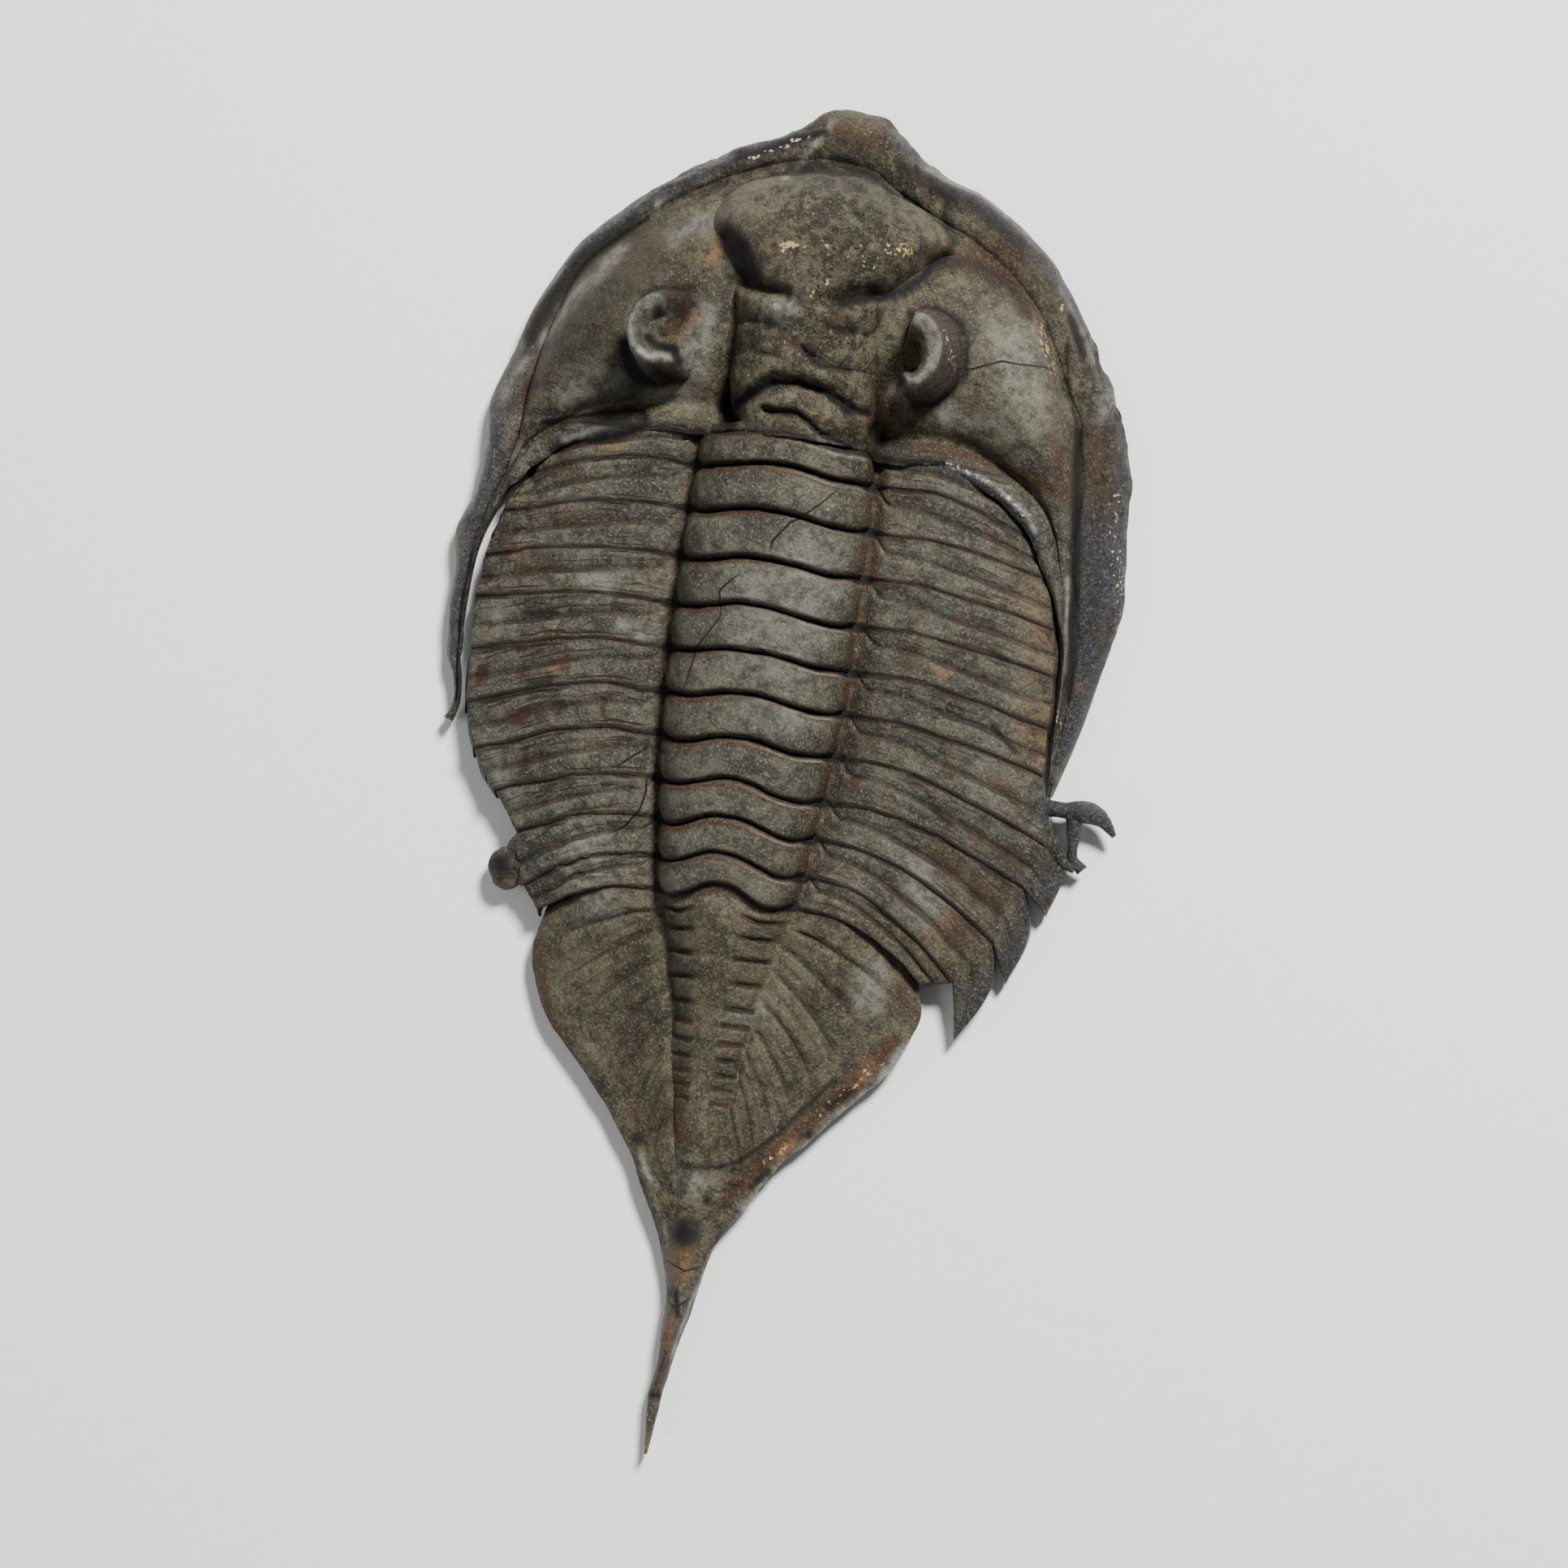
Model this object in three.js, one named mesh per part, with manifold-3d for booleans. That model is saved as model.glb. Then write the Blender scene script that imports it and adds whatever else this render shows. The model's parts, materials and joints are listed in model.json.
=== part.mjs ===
// A Dalmanites trilobite, freed from its rock: head shield, eleven thorax segments, tail shield.
// Millimetres. Y points towards the head, Z up, and X to the animal's right.
// The whole fossil is one solid: every plate is a closed band, and the bands are joined.
import * as THREE from "three";
import { mergeVertices } from "three/addons/utils/BufferGeometryUtils.js";
import Module from "manifold-3d";

const wasm = await Module();
wasm.setup();

// Heights of the body along its length, as [y, z], from the neck to the tip of the tail spine.
const CREST = [[4, 6.6], [-5, 6.5], [-12, 6.3], [-18, 5.9], [-22, 5.25], [-27, 4.0], [-31, 3.1],
  [-34.5, 2.6], [-37, 2.35], [-40, 2.15], [-44, 1.9], [-50, 1.2]];
const FURROW = [[4, 3.1], [-5, 3.0], [-12, 2.9], [-18, 2.7], [-22, 2.5], [-27, 2.2], [-31, 2.0],
  [-34.5, 1.95], [-37, 1.85], [-40, 1.7], [-44, 1.5], [-50, 1.0]];
const FIELD = [[4, 3.7], [-5, 3.7], [-12, 3.6], [-18, 3.3], [-22, 3.0], [-27, 2.7], [-31, 2.4],
  [-34.5, 2.15], [-37, 1.95], [-40, 1.75], [-44, 1.5], [-50, 1.0]];
const MARGIN_Z = 1.1;
const UNDERSIDE_Z = 0.5;
const RIM_THICKNESS = 0.45;
// How far each plate's lower edge is set in from its upper one.
const SEGMENT_INSET = 0.1;
const HEAD_INSET = 0.3;
const TAIL_INSET = 0.25;

// Half-width of the raised middle lobe: widest at the fifth segment, narrower towards the tail.
const AXIS_WIDEST = 4.65;
const AXIS_WIDEST_Y = -8;
const AXIS_TAPER_FRONT = 0.004;
const AXIS_TAPER_REAR = 0.0066;
const TAIL_AXIS = [[-22, 3.35], [-24, 2.9], [-26, 2.42], [-28, 2.05], [-31, 1.7], [-33, 1.5],
  [-35, 1.1], [-37, 0.7], [-40, 0.4], [-50, 0.1]];

// Thorax segments from head to tail: the rear edge at the midline, and on each side the notch
// where the rear edge reaches the margin, the outermost point of the flank, and its tip.
const SEGMENTS = [
  { mid: -0.85, right: [[12.1, -2.6], [12.2, -1.8], [12.4, -3.0]],
    left: [[-12.6, -2.6], [-12.8, -1.9], [-13.1, -3.1]] },
  { mid: -3.1, right: [[13.3, -4.5], [13.1, -3.8], [13.5, -5.0]],
    left: [[-14.0, -4.7], [-13.9, -3.8], [-14.3, -5.2]] },
  { mid: -5.45, right: [[14.1, -6.9], [13.95, -5.9], [14.2, -7.4]],
    left: [[-14.6, -6.9], [-14.6, -5.9], [-14.8, -7.4]] },
  { mid: -7.8, right: [[14.4, -9.2], [14.4, -8.2], [14.45, -9.7]],
    left: [[-14.8, -9.1], [-14.8, -8.2], [-14.9, -9.7]] },
  { mid: -10.0, right: [[14.45, -11.8], [14.5, -10.7], [14.5, -12.2]],
    left: [[-14.7, -11.7], [-14.85, -10.7], [-14.8, -12.2]] },
  { mid: -12.1, right: [[14.5, -14.1], [14.5, -13.0], [14.6, -14.6]],
    left: [[-14.5, -14.3], [-14.85, -13.2], [-14.75, -14.9]] },
  { mid: -14.2, right: [[15.1, -17.4], [15.0, -15.7], [15.6, -18.0]],
    left: [[-13.9, -16.6], [-14.4, -15.6], [-14.0, -17.0]] },
  { mid: -16.3, right: [[14.3, -19.6], [16.05, -18.8], [15.5, -20.8]],
    left: [[-12.5, -18.5], [-13.3, -17.9], [-12.6, -18.9]] },
  { mid: -18.1, right: [[13.2, -22.4], [14.9, -21.8], [14.0, -24.35]],
    left: [[-11.1, -20.4], [-11.8, -19.6], [-11.2, -20.6]] },
  { mid: -19.9, right: [[11.5, -24.7], [13.4, -24.6], [11.9, -27.45]],
    left: [[-10.5, -23.0], [-11.6, -21.4], [-11.2, -22.7]] },
  { mid: -21.5, right: [[9.9, -24.9], [10.9, -24.75], [10.2, -25.1]],
    left: [[-9.5, -24.0], [-10.1, -23.4], [-9.6, -24.4]] },
];
const NECK = { mid: 0.6, right: [[11.3, 0.0]], left: [[-11.8, 0.1]] };
const TUCK = 0.6;

// Head shield sections from the snout to each cheek spine's tip, as [outer x, y, inner x, y].
const HEAD_RIGHT = [
  [0.75, 17.2, 0.3, 0.9], [2.25, 16.95, 1.2, 0.9], [3.35, 15.95, 2.0, 0.8], [4.5, 15.05, 2.9, 0.5],
  [5.95, 14.4, 3.8, 0.2], [7.5, 13.8, 4.6, 0.0], [9.1, 12.85, 5.6, 0.0], [10.5, 11.8, 6.7, 0.1],
  [11.65, 10.7, 7.8, 0.1], [12.65, 9.3, 8.8, -0.2], [13.55, 7.85, 9.7, -0.65], [14.3, 6.5, 10.5, -1.05],
  [15.1, 5.4, 11.2, -1.5], [15.5, 4.2, 11.8, -2.0], [16.2, 2.8, 12.3, -2.6], [16.7, 1.0, 12.7, -3.3],
  [16.9, -1.0, 13.1, -4.1], [17.05, -3.2, 13.6, -5.0], [17.2, -5.5, 14.1, -6.2],
  [16.95, -7.0, 14.5, -7.5], [16.5, -9.0, 14.7, -9.2], [16.1, -11.0, 14.7, -11.0],
  [15.7, -12.6, 14.7, -12.6], [15.35, -13.8, 14.75, -13.8], [15.0, -15.0, 14.8, -15.0],
];
const HEAD_LEFT = [
  [0.75, 17.2, 0.3, 0.9], [-0.5, 17.15, -0.8, 0.9], [-1.6, 16.35, -1.8, 0.8], [-3.0, 15.5, -2.7, 0.5],
  [-5.0, 14.65, -3.6, 0.3], [-6.6, 13.8, -4.6, 0.2], [-8.1, 12.9, -5.5, 0.2], [-9.45, 11.8, -6.5, 0.15],
  [-10.75, 10.75, -7.5, 0.05], [-11.7, 9.75, -8.4, -0.1], [-12.65, 8.5, -9.3, -0.35],
  [-13.45, 7.05, -10.2, -0.7], [-14.15, 5.6, -11.0, -1.1], [-14.55, 4.4, -11.7, -1.5],
  [-15.0, 3.0, -12.3, -2.0], [-15.4, 1.7, -12.9, -2.5], [-15.75, 0.3, -13.45, -3.1],
  [-15.6, -1.5, -14.05, -3.8], [-15.9, -4.0, -14.5, -4.9], [-16.6, -6.0, -14.95, -6.2],
  [-16.35, -7.6, -15.2, -7.7], [-16.3, -10.0, -15.3, -10.0], [-16.2, -12.0, -15.3, -12.0],
  [-15.65, -13.2, -15.2, -13.2], [-15.5, -14.4, -15.15, -14.4], [-15.9, -15.2, -15.3, -15.4],
];
const SPINE_FROM = 13;
const SPINE_FULL = 18;
// Width of its raised border: at the snout, beside it on the left and right, and at the cheeks.
const SNOUT_BORDER = 2.7;
const LEFT_BORDER = 1.4;
const RIGHT_BORDER = 2.1;
const CHEEK_BORDER = 2.8;
// Where the crease along a cheek spine lies between its outer and inner edge.
const SPINE_CREASE = 0.7;
const NECK_BORDER = 1.35;
// How far the shield drops between its neck band's two halves, beside the middle lobe.
const NECK_PIT = 1.2;

// Central lobe of the head, front to back: [y, left x, right x, height at the sides, height on top].
const GLABELLA = [
  [13.85, 0.2, 2.1, 2.6, 3.4], [13.5, -1.7, 2.9, 2.6, 4.6], [13.0, -3.4, 3.9, 2.6, 5.6],
  [12.3, -4.6, 5.5, 2.7, 6.6], [11.4, -5.2, 6.6, 2.9, 7.3], [10.4, -5.3, 6.9, 3.3, 7.8],
  [9.5, -4.9, 6.2, 3.6, 8.0], [8.4, -4.0, 5.1, 4.2, 8.0], [7.1, -3.5, 4.4, 4.5, 7.9],
  [5.9, -3.2, 4.1, 4.5, 7.7],
  [4.5, -3.1, 4.1, 4.4, 7.4], [3.2, -3.1, 4.1, 4.2, 7.2], [2.2, -3.0, 4.15, 4.0, 7.15],
  [1.4, -2.8, 4.0, 3.8, 7.1], [0.45, -2.6, 3.7, 3.6, 6.8],
];
const GLABELLA_FOOT_Z = 1.0;
// Furrows of that lobe: their path, depth and half-width.
const GLABELLA_FURROWS = [
  { path: [[6.5, 10.2], [5.8, 9.7], [5.2, 8.8], [4.6, 8.2], [2.9, 7.6], [1.9, 7.2]], depth: 1.5, width: 0.5 },
  { path: [[-4.4, 8.3], [-2.6, 7.6], [-1.2, 7.35], [-0.5, 7.3]], depth: 1.2, width: 0.45 },
  { path: [[-4.2, 9.9], [-3.3, 9.0], [-2.7, 8.2]], depth: 0.8, width: 0.55 },
  { path: [[4.2, 5.9], [3.1, 5.8], [1.8, 6.0]], depth: 0.35, width: 0.4 },
  { path: [[-3.1, 5.9], [-2.2, 5.8], [-0.3, 5.6]], depth: 0.3, width: 0.4 },
  { path: [[4.2, 4.0], [3.0, 4.1], [1.8, 4.2], [0.9, 4.7]], depth: 0.45, width: 0.4 },
  { path: [[-3.1, 4.4], [-1.8, 4.4], [-0.2, 4.2]], depth: 0.3, width: 0.4 },
  { path: [[-2.7, 0.9], [-2.2, 1.9], [-0.6, 3.0], [0.8, 3.15], [2.2, 2.8], [3.3, 2.2], [4.4, 2.1]],
    depth: 1.2, width: 0.4 },
];

// Eyes: the middle of each one's foot, of its rim, and of the pit behind the rim.
const EYES = [
  { side: 1, foot: [6.5, 5.25], rim: [6.3, 5.3], pit: [5.95, 5.05] },
  { side: -1, foot: [-6.2, 4.7], rim: [-6.3, 4.75], pit: [-6.3, 4.5] },
];
const EYE_WIDTH_OUTER = 0.78;
const EYE_WIDTH_INNER = 0.64;
// From the foot up the lens wall, over the rim and into the pit behind it: the radius, the height
// on the outer and on the inner side, and the way from the foot's middle to the rim's and the pit's.
const EYE_LEVELS = [[2.42, 3.0, 3.0, 0], [2.34, 4.7, 4.6, 0], [2.26, 5.7, 5.2, 0.3],
  [2.15, 7.0, 5.6, 0.65], [2.0, 8.1, 5.8, 1], [1.8, 8.6, 5.9, 1], [1.35, 8.55, 5.95, 1.5],
  [1.0, 8.0, 5.9, 2], [0.8, 6.6, 5.7, 2], [0.4, 5.8, 5.6, 2]];
const EYE_PIT_Z = 5.6;
const EYE_FOOT_Z = 2.5;

// Tail shield rows: y on the midline, then where the row meets the right and the left margin.
const TAIL = [
  [-21.2, [9.7, -24.5], [-9.2, -23.6]],
  [-21.9, [9.95, -25.5], [-9.4, -24.6]], [-23.0, [10.08, -26.9], [-9.6, -26.2]],
  [-24.2, [9.0, -29.4], [-9.0, -28.5]], [-25.5, [7.7, -30.9], [-7.6, -30.2]],
  [-27.0, [6.4, -32.4], [-6.2, -31.7]], [-28.3, [5.2, -33.8], [-5.0, -33.1]],
  [-29.6, [4.1, -35.1], [-3.9, -34.6]], [-31.0, [3.3, -36.4], [-3.1, -35.8]],
  [-32.5, [2.7, -37.4], [-2.5, -36.9]], [-34.2, [2.1, -38.3], [-1.9, -38.0]],
  [-36.0, [1.6, -39.2], [-1.4, -39.1]], [-38.0, [1.3, -40.1], [-1.05, -40.1]],
  [-40.2, [1.02, -41.3], [-0.75, -41.3]], [-42.5, [0.79, -42.8], [-0.55, -42.8]],
  [-45.0, [0.25, -45.1], [-0.52, -45.1]], [-47.3, [-0.15, -47.4], [-0.78, -47.4]],
  [-49.9, [-0.45, -49.9], [-0.58, -49.9]],
];
// How far the tail's first row bends back at its middle lobe's sides, as the thorax rings do.
const TAIL_CURVE = 0.7;
// How far its first rows dip to pass under the last segment.
const TAIL_TUCK = 0.4;
const RING_LINES = [-22.6, -23.8, -25.0, -26.2, -27.4, -28.3, -29.2, -30.05, -30.8, -31.5, -32.2];
const RIB_LINES = [-23.0, -24.2, -25.5, -27.0, -28.3, -29.6, -31.0, -32.4];

// Broken pieces at the right flank's seventh segment, and the worn stub at the left.
const HOOK = [[14.6, -15.5, 1.2, 0.45], [15.7, -15.5, 1.3, 0.4], [16.6, -15.5, 1.4, 0.55],
  [17.6, -15.8, 1.3, 0.4], [18.3, -16.5, 1.1, 0.12]];
const HOOK_BRANCH = [[16.3, -15.7, 1.3, 0.5], [16.35, -16.9, 1.2, 0.3], [16.4, -17.8, 1.1, 0.25],
  [16.95, -18.35, 1.0, 0.32]];
const HOOK_ROOT = [[15.2, -17.0, 1.3, 0.4], [15.8, -17.9, 1.1, 0.3], [16.6, -18.3, 1.0, 0.28]];
const STUB = { centre: [-11.5, -22.3, 1.2], size: [0.98, 1.12, 0.8] };

// The stone that fills the hollow underside, with the flat face that the fossil rests on.
const INFILL = [[0.6, 14.6], [4.2, 13.2], [8.4, 11.4], [11.4, 8.2], [13.6, 3.6], [14.2, -0.6],
  [12.6, -5.0], [12.9, -12.0], [13.2, -17.6], [11.6, -21.6], [8.2, -26.4], [5.0, -31.6],
  [2.2, -35.4], [0.2, -37.4], [-1.8, -35.4], [-4.8, -31.2], [-8.0, -26.4], [-10.2, -20.6],
  [-12.6, -16.4], [-13.2, -12.0], [-12.8, -5.0], [-13.6, -0.6], [-12.8, 3.6], [-10.6, 8.2],
  [-7.4, 11.4], [-3.4, 13.4]];
const INFILL_TOP = 1.4;

// Slivers thinner than this, left where plates meet, are merged away.
const SEAM_TOLERANCE = 0.014;

// Columns across each plate and rows along it: 0 is the midline, 1 the axial furrow, 2 the tip.
const NOTCH_COLUMN = 1.8;
const FURROW_ROW = 0.42;
const HALF_COLUMNS = [0, 0.25, 0.55, 0.85, 1.0, 1.08, 1.32, 1.56, NOTCH_COLUMN, 1.9, 2.0];
const COLUMNS = [...HALF_COLUMNS.slice(1).map((c) => -c).reverse(), ...HALF_COLUMNS];
const SEGMENT_ROWS = [0, 0.34, FURROW_ROW, 0.54, 0.92, 1];
const TAIL_HALF_COLUMNS = [0, 0.45, 0.8, 1.0, 1.12, 1.34, 1.56, 1.74, 1.88, 2.0];
const TAIL_COLUMNS = [...TAIL_HALF_COLUMNS.slice(1).map((c) => -c).reverse(), ...TAIL_HALF_COLUMNS];
const HEAD_ROWS = [0, 0.05, 0.14, 0.23, 0.3, 0.38, 0.5, 0.64, 0.78, 0.85, 0.92, 1];

const clamp = (v, low, high) => Math.min(Math.max(v, low), high);
const mix = (a, b, t) => a + (b - a) * t;
const bump = (v) => Math.exp(-v * v);
function step(from, to, v) {
  const t = clamp((v - from) / (to - from), 0, 1);
  return t * t * (3 - 2 * t);
}

// A smooth curve through hand-set points, read at station s: 0 is the first point, 1 the second.
function along(points, s) {
  const last = points.length - 1;
  const i = clamp(Math.floor(s), 0, last - 1);
  const t = s - i;
  const [a, b, c, d] = [i - 1, i, i + 1, i + 2].map((k) => points[clamp(k, 0, last)]);
  return b.map((_, k) => 0.5 * (2 * b[k] + (c[k] - a[k]) * t
    + (2 * a[k] - 5 * b[k] + 4 * c[k] - d[k]) * t * t
    + (3 * b[k] - a[k] - 3 * c[k] + d[k]) * t * t * t));
}

// The station of a list of rows whose first number, y, falls along the list.
function stationAt(rows, y) {
  const next = rows.findIndex((row) => row[0] <= y);
  if (next === 0) return 0;
  if (next < 0) return rows.length - 1;
  return next - (y - rows[next][0]) / (rows[next - 1][0] - rows[next][0]);
}
const heightAt = (rows, y) => along(rows, stationAt(rows, y))[1];

// Distance from a point to a path, with how far along it the nearest point lies, 0 to 1.
function distanceToPath([x, y], path) {
  let best = [Infinity, 0];
  for (let i = 0; i + 1 < path.length; i++) {
    const [[ax, ay], [bx, by]] = [path[i], path[i + 1]];
    const [dx, dy] = [bx - ax, by - ay];
    const t = clamp(((x - ax) * dx + (y - ay) * dy) / (dx * dx + dy * dy), 0, 1);
    const d = Math.hypot(x - ax - dx * t, y - ay - dy * t);
    if (d < best[0]) best = [d, (i + t) / (path.length - 1)];
  }
  return best;
}

function axisHalfWidth(y) {
  const away = y - AXIS_WIDEST_Y;
  return AXIS_WIDEST - (away > 0 ? AXIS_TAPER_FRONT : AXIS_TAPER_REAR) * away * away;
}

// The lower side of a plate's rim, at height z: never so high that the rim would be thin.
const rimBelow = (z) => Math.min(UNDERSIDE_Z, z - RIM_THICKNESS);

// A closed solid under a grid of points. The grid's first and last rows have a lower edge each,
// set in from the upper one, and the underside is stretched between those two edges.
function closedBand(grid, lowerZ, inset) {
  const rows = grid.length;
  const cols = grid[0].length;
  const points = grid.flat();
  const lower = (row, other) => row.map(([x, y, z], c) => {
    const [ox, oy] = other[c];
    const reach = Math.hypot(ox - x, oy - y) || 1;
    const shift = Math.min(inset, reach * 0.3) / reach;
    return [mix(x, ox, shift), mix(y, oy, shift), lowerZ(z)];
  });
  const front = points.length;
  points.push(...lower(grid[0], grid[rows - 1]));
  const rear = points.length;
  points.push(...lower(grid[rows - 1], grid[0]));
  const faces = [];
  const quad = (a, b, c, d) => faces.push([a, b, c], [a, c, d]);
  for (let r = 0; r + 1 < rows; r++)
    for (let c = 0; c + 1 < cols; c++) {
      const a = r * cols + c;
      quad(a, a + cols, a + cols + 1, a + 1);
    }
  const lastRow = (rows - 1) * cols;
  for (let c = 0; c + 1 < cols; c++) {
    quad(front + c, c, c + 1, front + c + 1);
    quad(lastRow + c, rear + c, rear + c + 1, lastRow + c + 1);
    quad(rear + c, front + c, front + c + 1, rear + c + 1);
  }
  for (let r = 0; r + 1 < rows; r++) {
    faces.push([front, (r + 1) * cols, r * cols]);
    faces.push([front + cols - 1, (r + 1) * cols - 1, (r + 2) * cols - 1]);
  }
  faces.push([front, rear, lastRow]);
  faces.push([front + cols - 1, lastRow + cols - 1, rear + cols - 1]);
  return solidOf(geometryOf(points, faces));
}

// A closed solid of nested rings, the first the outermost and lowest, around two end points.
function closedRings(rings, top, bottom) {
  const n = rings[0].length;
  const points = [...rings.flat(), top, bottom];
  const [topPoint, bottomPoint] = [points.length - 2, points.length - 1];
  const faces = [];
  for (let k = 0; k + 1 < rings.length; k++)
    for (let i = 0; i < n; i++) {
      const j = (i + 1) % n;
      const [a, b, c, d] = [k * n + i, k * n + j, (k + 1) * n + j, (k + 1) * n + i];
      faces.push([a, b, c], [a, c, d]);
    }
  const inner = (rings.length - 1) * n;
  for (let i = 0; i < n; i++) {
    const j = (i + 1) % n;
    faces.push([inner + i, inner + j, topPoint], [j, i, bottomPoint]);
  }
  return solidOf(geometryOf(points, faces));
}

function geometryOf(points, faces) {
  const geometry = new THREE.BufferGeometry();
  geometry.setAttribute("position", new THREE.Float32BufferAttribute(points.flat(), 3));
  geometry.setIndex(faces.flat());
  return geometry;
}

function solidOf(geometry) {
  for (const name of ["normal", "uv"]) geometry.deleteAttribute(name);
  const merged = mergeVertices(geometry, 1e-4);
  return new wasm.Manifold(new wasm.Mesh({
    numProp: 3,
    vertProperties: merged.attributes.position.array,
    triVerts: new Uint32Array(merged.index.array),
  }));
}

// How strongly a segment's flank sweeps back: 0 at the front of the thorax, 1 at its end.
const sweepOf = (i) => step(4, 9.5, i);

// The rear edge of segment i (0 to 10, or -1 for the neck) at column c, on the plan.
function rearEdge(i, c) {
  const segment = i < 0 ? NECK : SEGMENTS[i];
  const side = c < 0 ? "left" : "right";
  const halfWidth = axisHalfWidth(segment.mid);
  const wave = 0.4 + 0.45 * sweepOf(i);
  const q = Math.abs(c);
  const endY = segment.mid - wave * 0.8;
  const sign = Math.sign(c) || 1;
  if (q <= 1) {
    const dip = q < 0.75 ? step(0.06, 0.75, q) : 1 - 0.2 * step(0.75, 1, q);
    return [sign * q * halfWidth, segment.mid - wave * dip];
  }
  const [notch, , tip] = segment[side];
  const bendFrom = mix(7.6, 4.3, sweepOf(i));
  const power = mix(1.2, 1.9, sweepOf(i));
  if (q <= NOTCH_COLUMN) {
    const x = mix(halfWidth, Math.abs(notch[0]), (q - 1) / (NOTCH_COLUMN - 1));
    const bend = clamp((x - bendFrom) / (Math.abs(notch[0]) - bendFrom), 0, 1) ** power;
    return [sign * x, mix(endY, notch[1], bend)];
  }
  const t = (q - NOTCH_COLUMN) / (2 - NOTCH_COLUMN);
  return [mix(notch[0], tip[0], t), mix(notch[1], tip[1], t)];
}

// The front edge of segment i: the rear edge before it, then its own outer edge to its tip.
function frontEdge(i, c) {
  const side = c < 0 ? "left" : "right";
  const before = i === 0 ? NECK : SEGMENTS[i - 1];
  const q = Math.abs(c);
  const notch = before[side][0];
  const [, outer, tip] = SEGMENTS[i][side];
  if (q <= NOTCH_COLUMN) {
    const [x, y] = rearEdge(i - 1, c);
    return [x, y + TUCK * (1 - 0.8 * step(1.5, NOTCH_COLUMN, q))];
  }
  return along([notch, outer, tip], (2 * (q - NOTCH_COLUMN)) / (2 - NOTCH_COLUMN));
}

// Where a segment's furrow lies between its front edge, 0, and rear edge, 1: further back on the
// flanks than on the middle lobe.
function furrowAt(c) {
  const q = Math.abs(c);
  return 0.25 + 0.28 * step(1, 1.1, q) + 0.09 * step(1.1, 1.5, q);
}

function ringRelief(w) {
  const band = step(FURROW_ROW - 0.02, FURROW_ROW + 0.1, w);
  return -0.5 + 0.5 * band - 0.32 * bump((w - FURROW_ROW) / 0.05)
    + 0.1 * Math.sin(Math.PI * clamp((w - 0.5) / 0.5, 0, 1)) - 0.22 * step(0.93, 1, w);
}
function flankRelief(w, p) {
  const furrow = 0.26 * bump((w - FURROW_ROW) / 0.07) * (1 - step(0.78, 0.95, p));
  const rearBand = 0.14 * step(FURROW_ROW, FURROW_ROW + 0.16, w);
  return -0.14 + 0.1 * step(0, 0.2, w) - furrow + rearBand - 0.1 * step(0.93, 1, w);
}

// The upper surface of segment i at column c and row w.
function segmentPoint(i, c, w) {
  const v = w < FURROW_ROW ? (w / FURROW_ROW) * furrowAt(c)
    : mix(furrowAt(c), 1, (w - FURROW_ROW) / (1 - FURROW_ROW));
  const [fx, fy] = frontEdge(i, c);
  const [rx, ry] = rearEdge(i, c);
  const [x, y] = [mix(fx, rx, v), mix(fy, ry, v)];
  const bodyY = mix(i === 0 ? NECK.mid : SEGMENTS[i - 1].mid, SEGMENTS[i].mid, v);
  const furrowZ = heightAt(FURROW, bodyY);
  const q = Math.abs(c);
  if (q <= 1) {
    const arch = (1 - q ** 2.6) ** 0.6;
    const crestZ = heightAt(CREST, bodyY);
    return [x, y, furrowZ + (crestZ - furrowZ) * arch + ringRelief(w) * Math.min(1, arch * 1.6)];
  }
  const p = q - 1;
  const fieldZ = heightAt(FIELD, bodyY);
  const bend = clamp((p - 0.38) / 0.62, 0, 1) ** 1.45;
  const level = mix(fieldZ, MARGIN_Z, bend) - (fieldZ - furrowZ) * bump(p / 0.055);
  return [x, y, level + flankRelief(w, p) * step(0, 0.08, p)];
}

function segmentSolid(i) {
  const grid = SEGMENT_ROWS.map((w) => COLUMNS.map((c) => segmentPoint(i, c, w)));
  return closedBand(grid, rimBelow, SEGMENT_INSET);
}

// Head shield: s counts sections from the snout, right positive, and w runs from rim to neck.
function headPoint(s, w) {
  const list = s < 0 ? HEAD_LEFT : HEAD_RIGHT;
  const m = Math.abs(s);
  const [ox, oy, ix, iy] = along(list, m);
  const length = Math.hypot(ix - ox, iy - oy);
  const spine = step(SPINE_FROM, SPINE_FULL, m);
  const sideBorder = s < 0 ? LEFT_BORDER : RIGHT_BORDER;
  const rimWidth = mix(mix(SNOUT_BORDER, sideBorder, step(0.5, 3.5, m)), CHEEK_BORDER, step(9, 15, m));
  const furrowShare = mix(rimWidth / length, SPINE_CREASE, spine);
  const neckShare = mix(1 - NECK_BORDER / length, 0.86, spine);
  let f;
  if (w < 0.3) f = (w / 0.3) * furrowShare;
  else if (w < 0.85) f = mix(furrowShare, neckShare, (w - 0.3) / 0.55);
  else f = mix(neckShare, 1, (w - 0.85) / 0.15);
  const lean = 1 - 0.55 * step(15, list.length - 1, m);
  const furrowZ = 2.15;
  const neckZ = mix(3.75, 2.35, step(5, 16, m));
  const dome = mix(2.5, 0.35, step(8, 16, m)) * (1 - spine);
  const t = clamp((w - 0.3) / 0.55, 0, 1);
  let z;
  if (w < 0.3) z = MARGIN_Z + 1.15 * Math.sin(Math.PI * 0.5 * Math.min(1, w / 0.17)) ** 0.7;
  else if (w < 0.85) z = mix(furrowZ, neckZ, t) + dome * Math.sin(Math.PI * t ** 0.9);
  else z = neckZ + 0.42 * Math.sin(Math.PI * clamp((w - 0.85) / 0.17, 0, 1));
  z -= 0.22 * bump((w - 0.31) / 0.05) + 0.3 * bump((w - 0.85) / 0.035) * (1 - spine);
  z -= NECK_PIT * (1 - step(2.5, 4.5, m)) * step(0.6, 0.85, w);
  return [mix(ox, ix, f), mix(oy, iy, f), UNDERSIDE_Z + (z - UNDERSIDE_Z) * lean];
}

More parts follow.
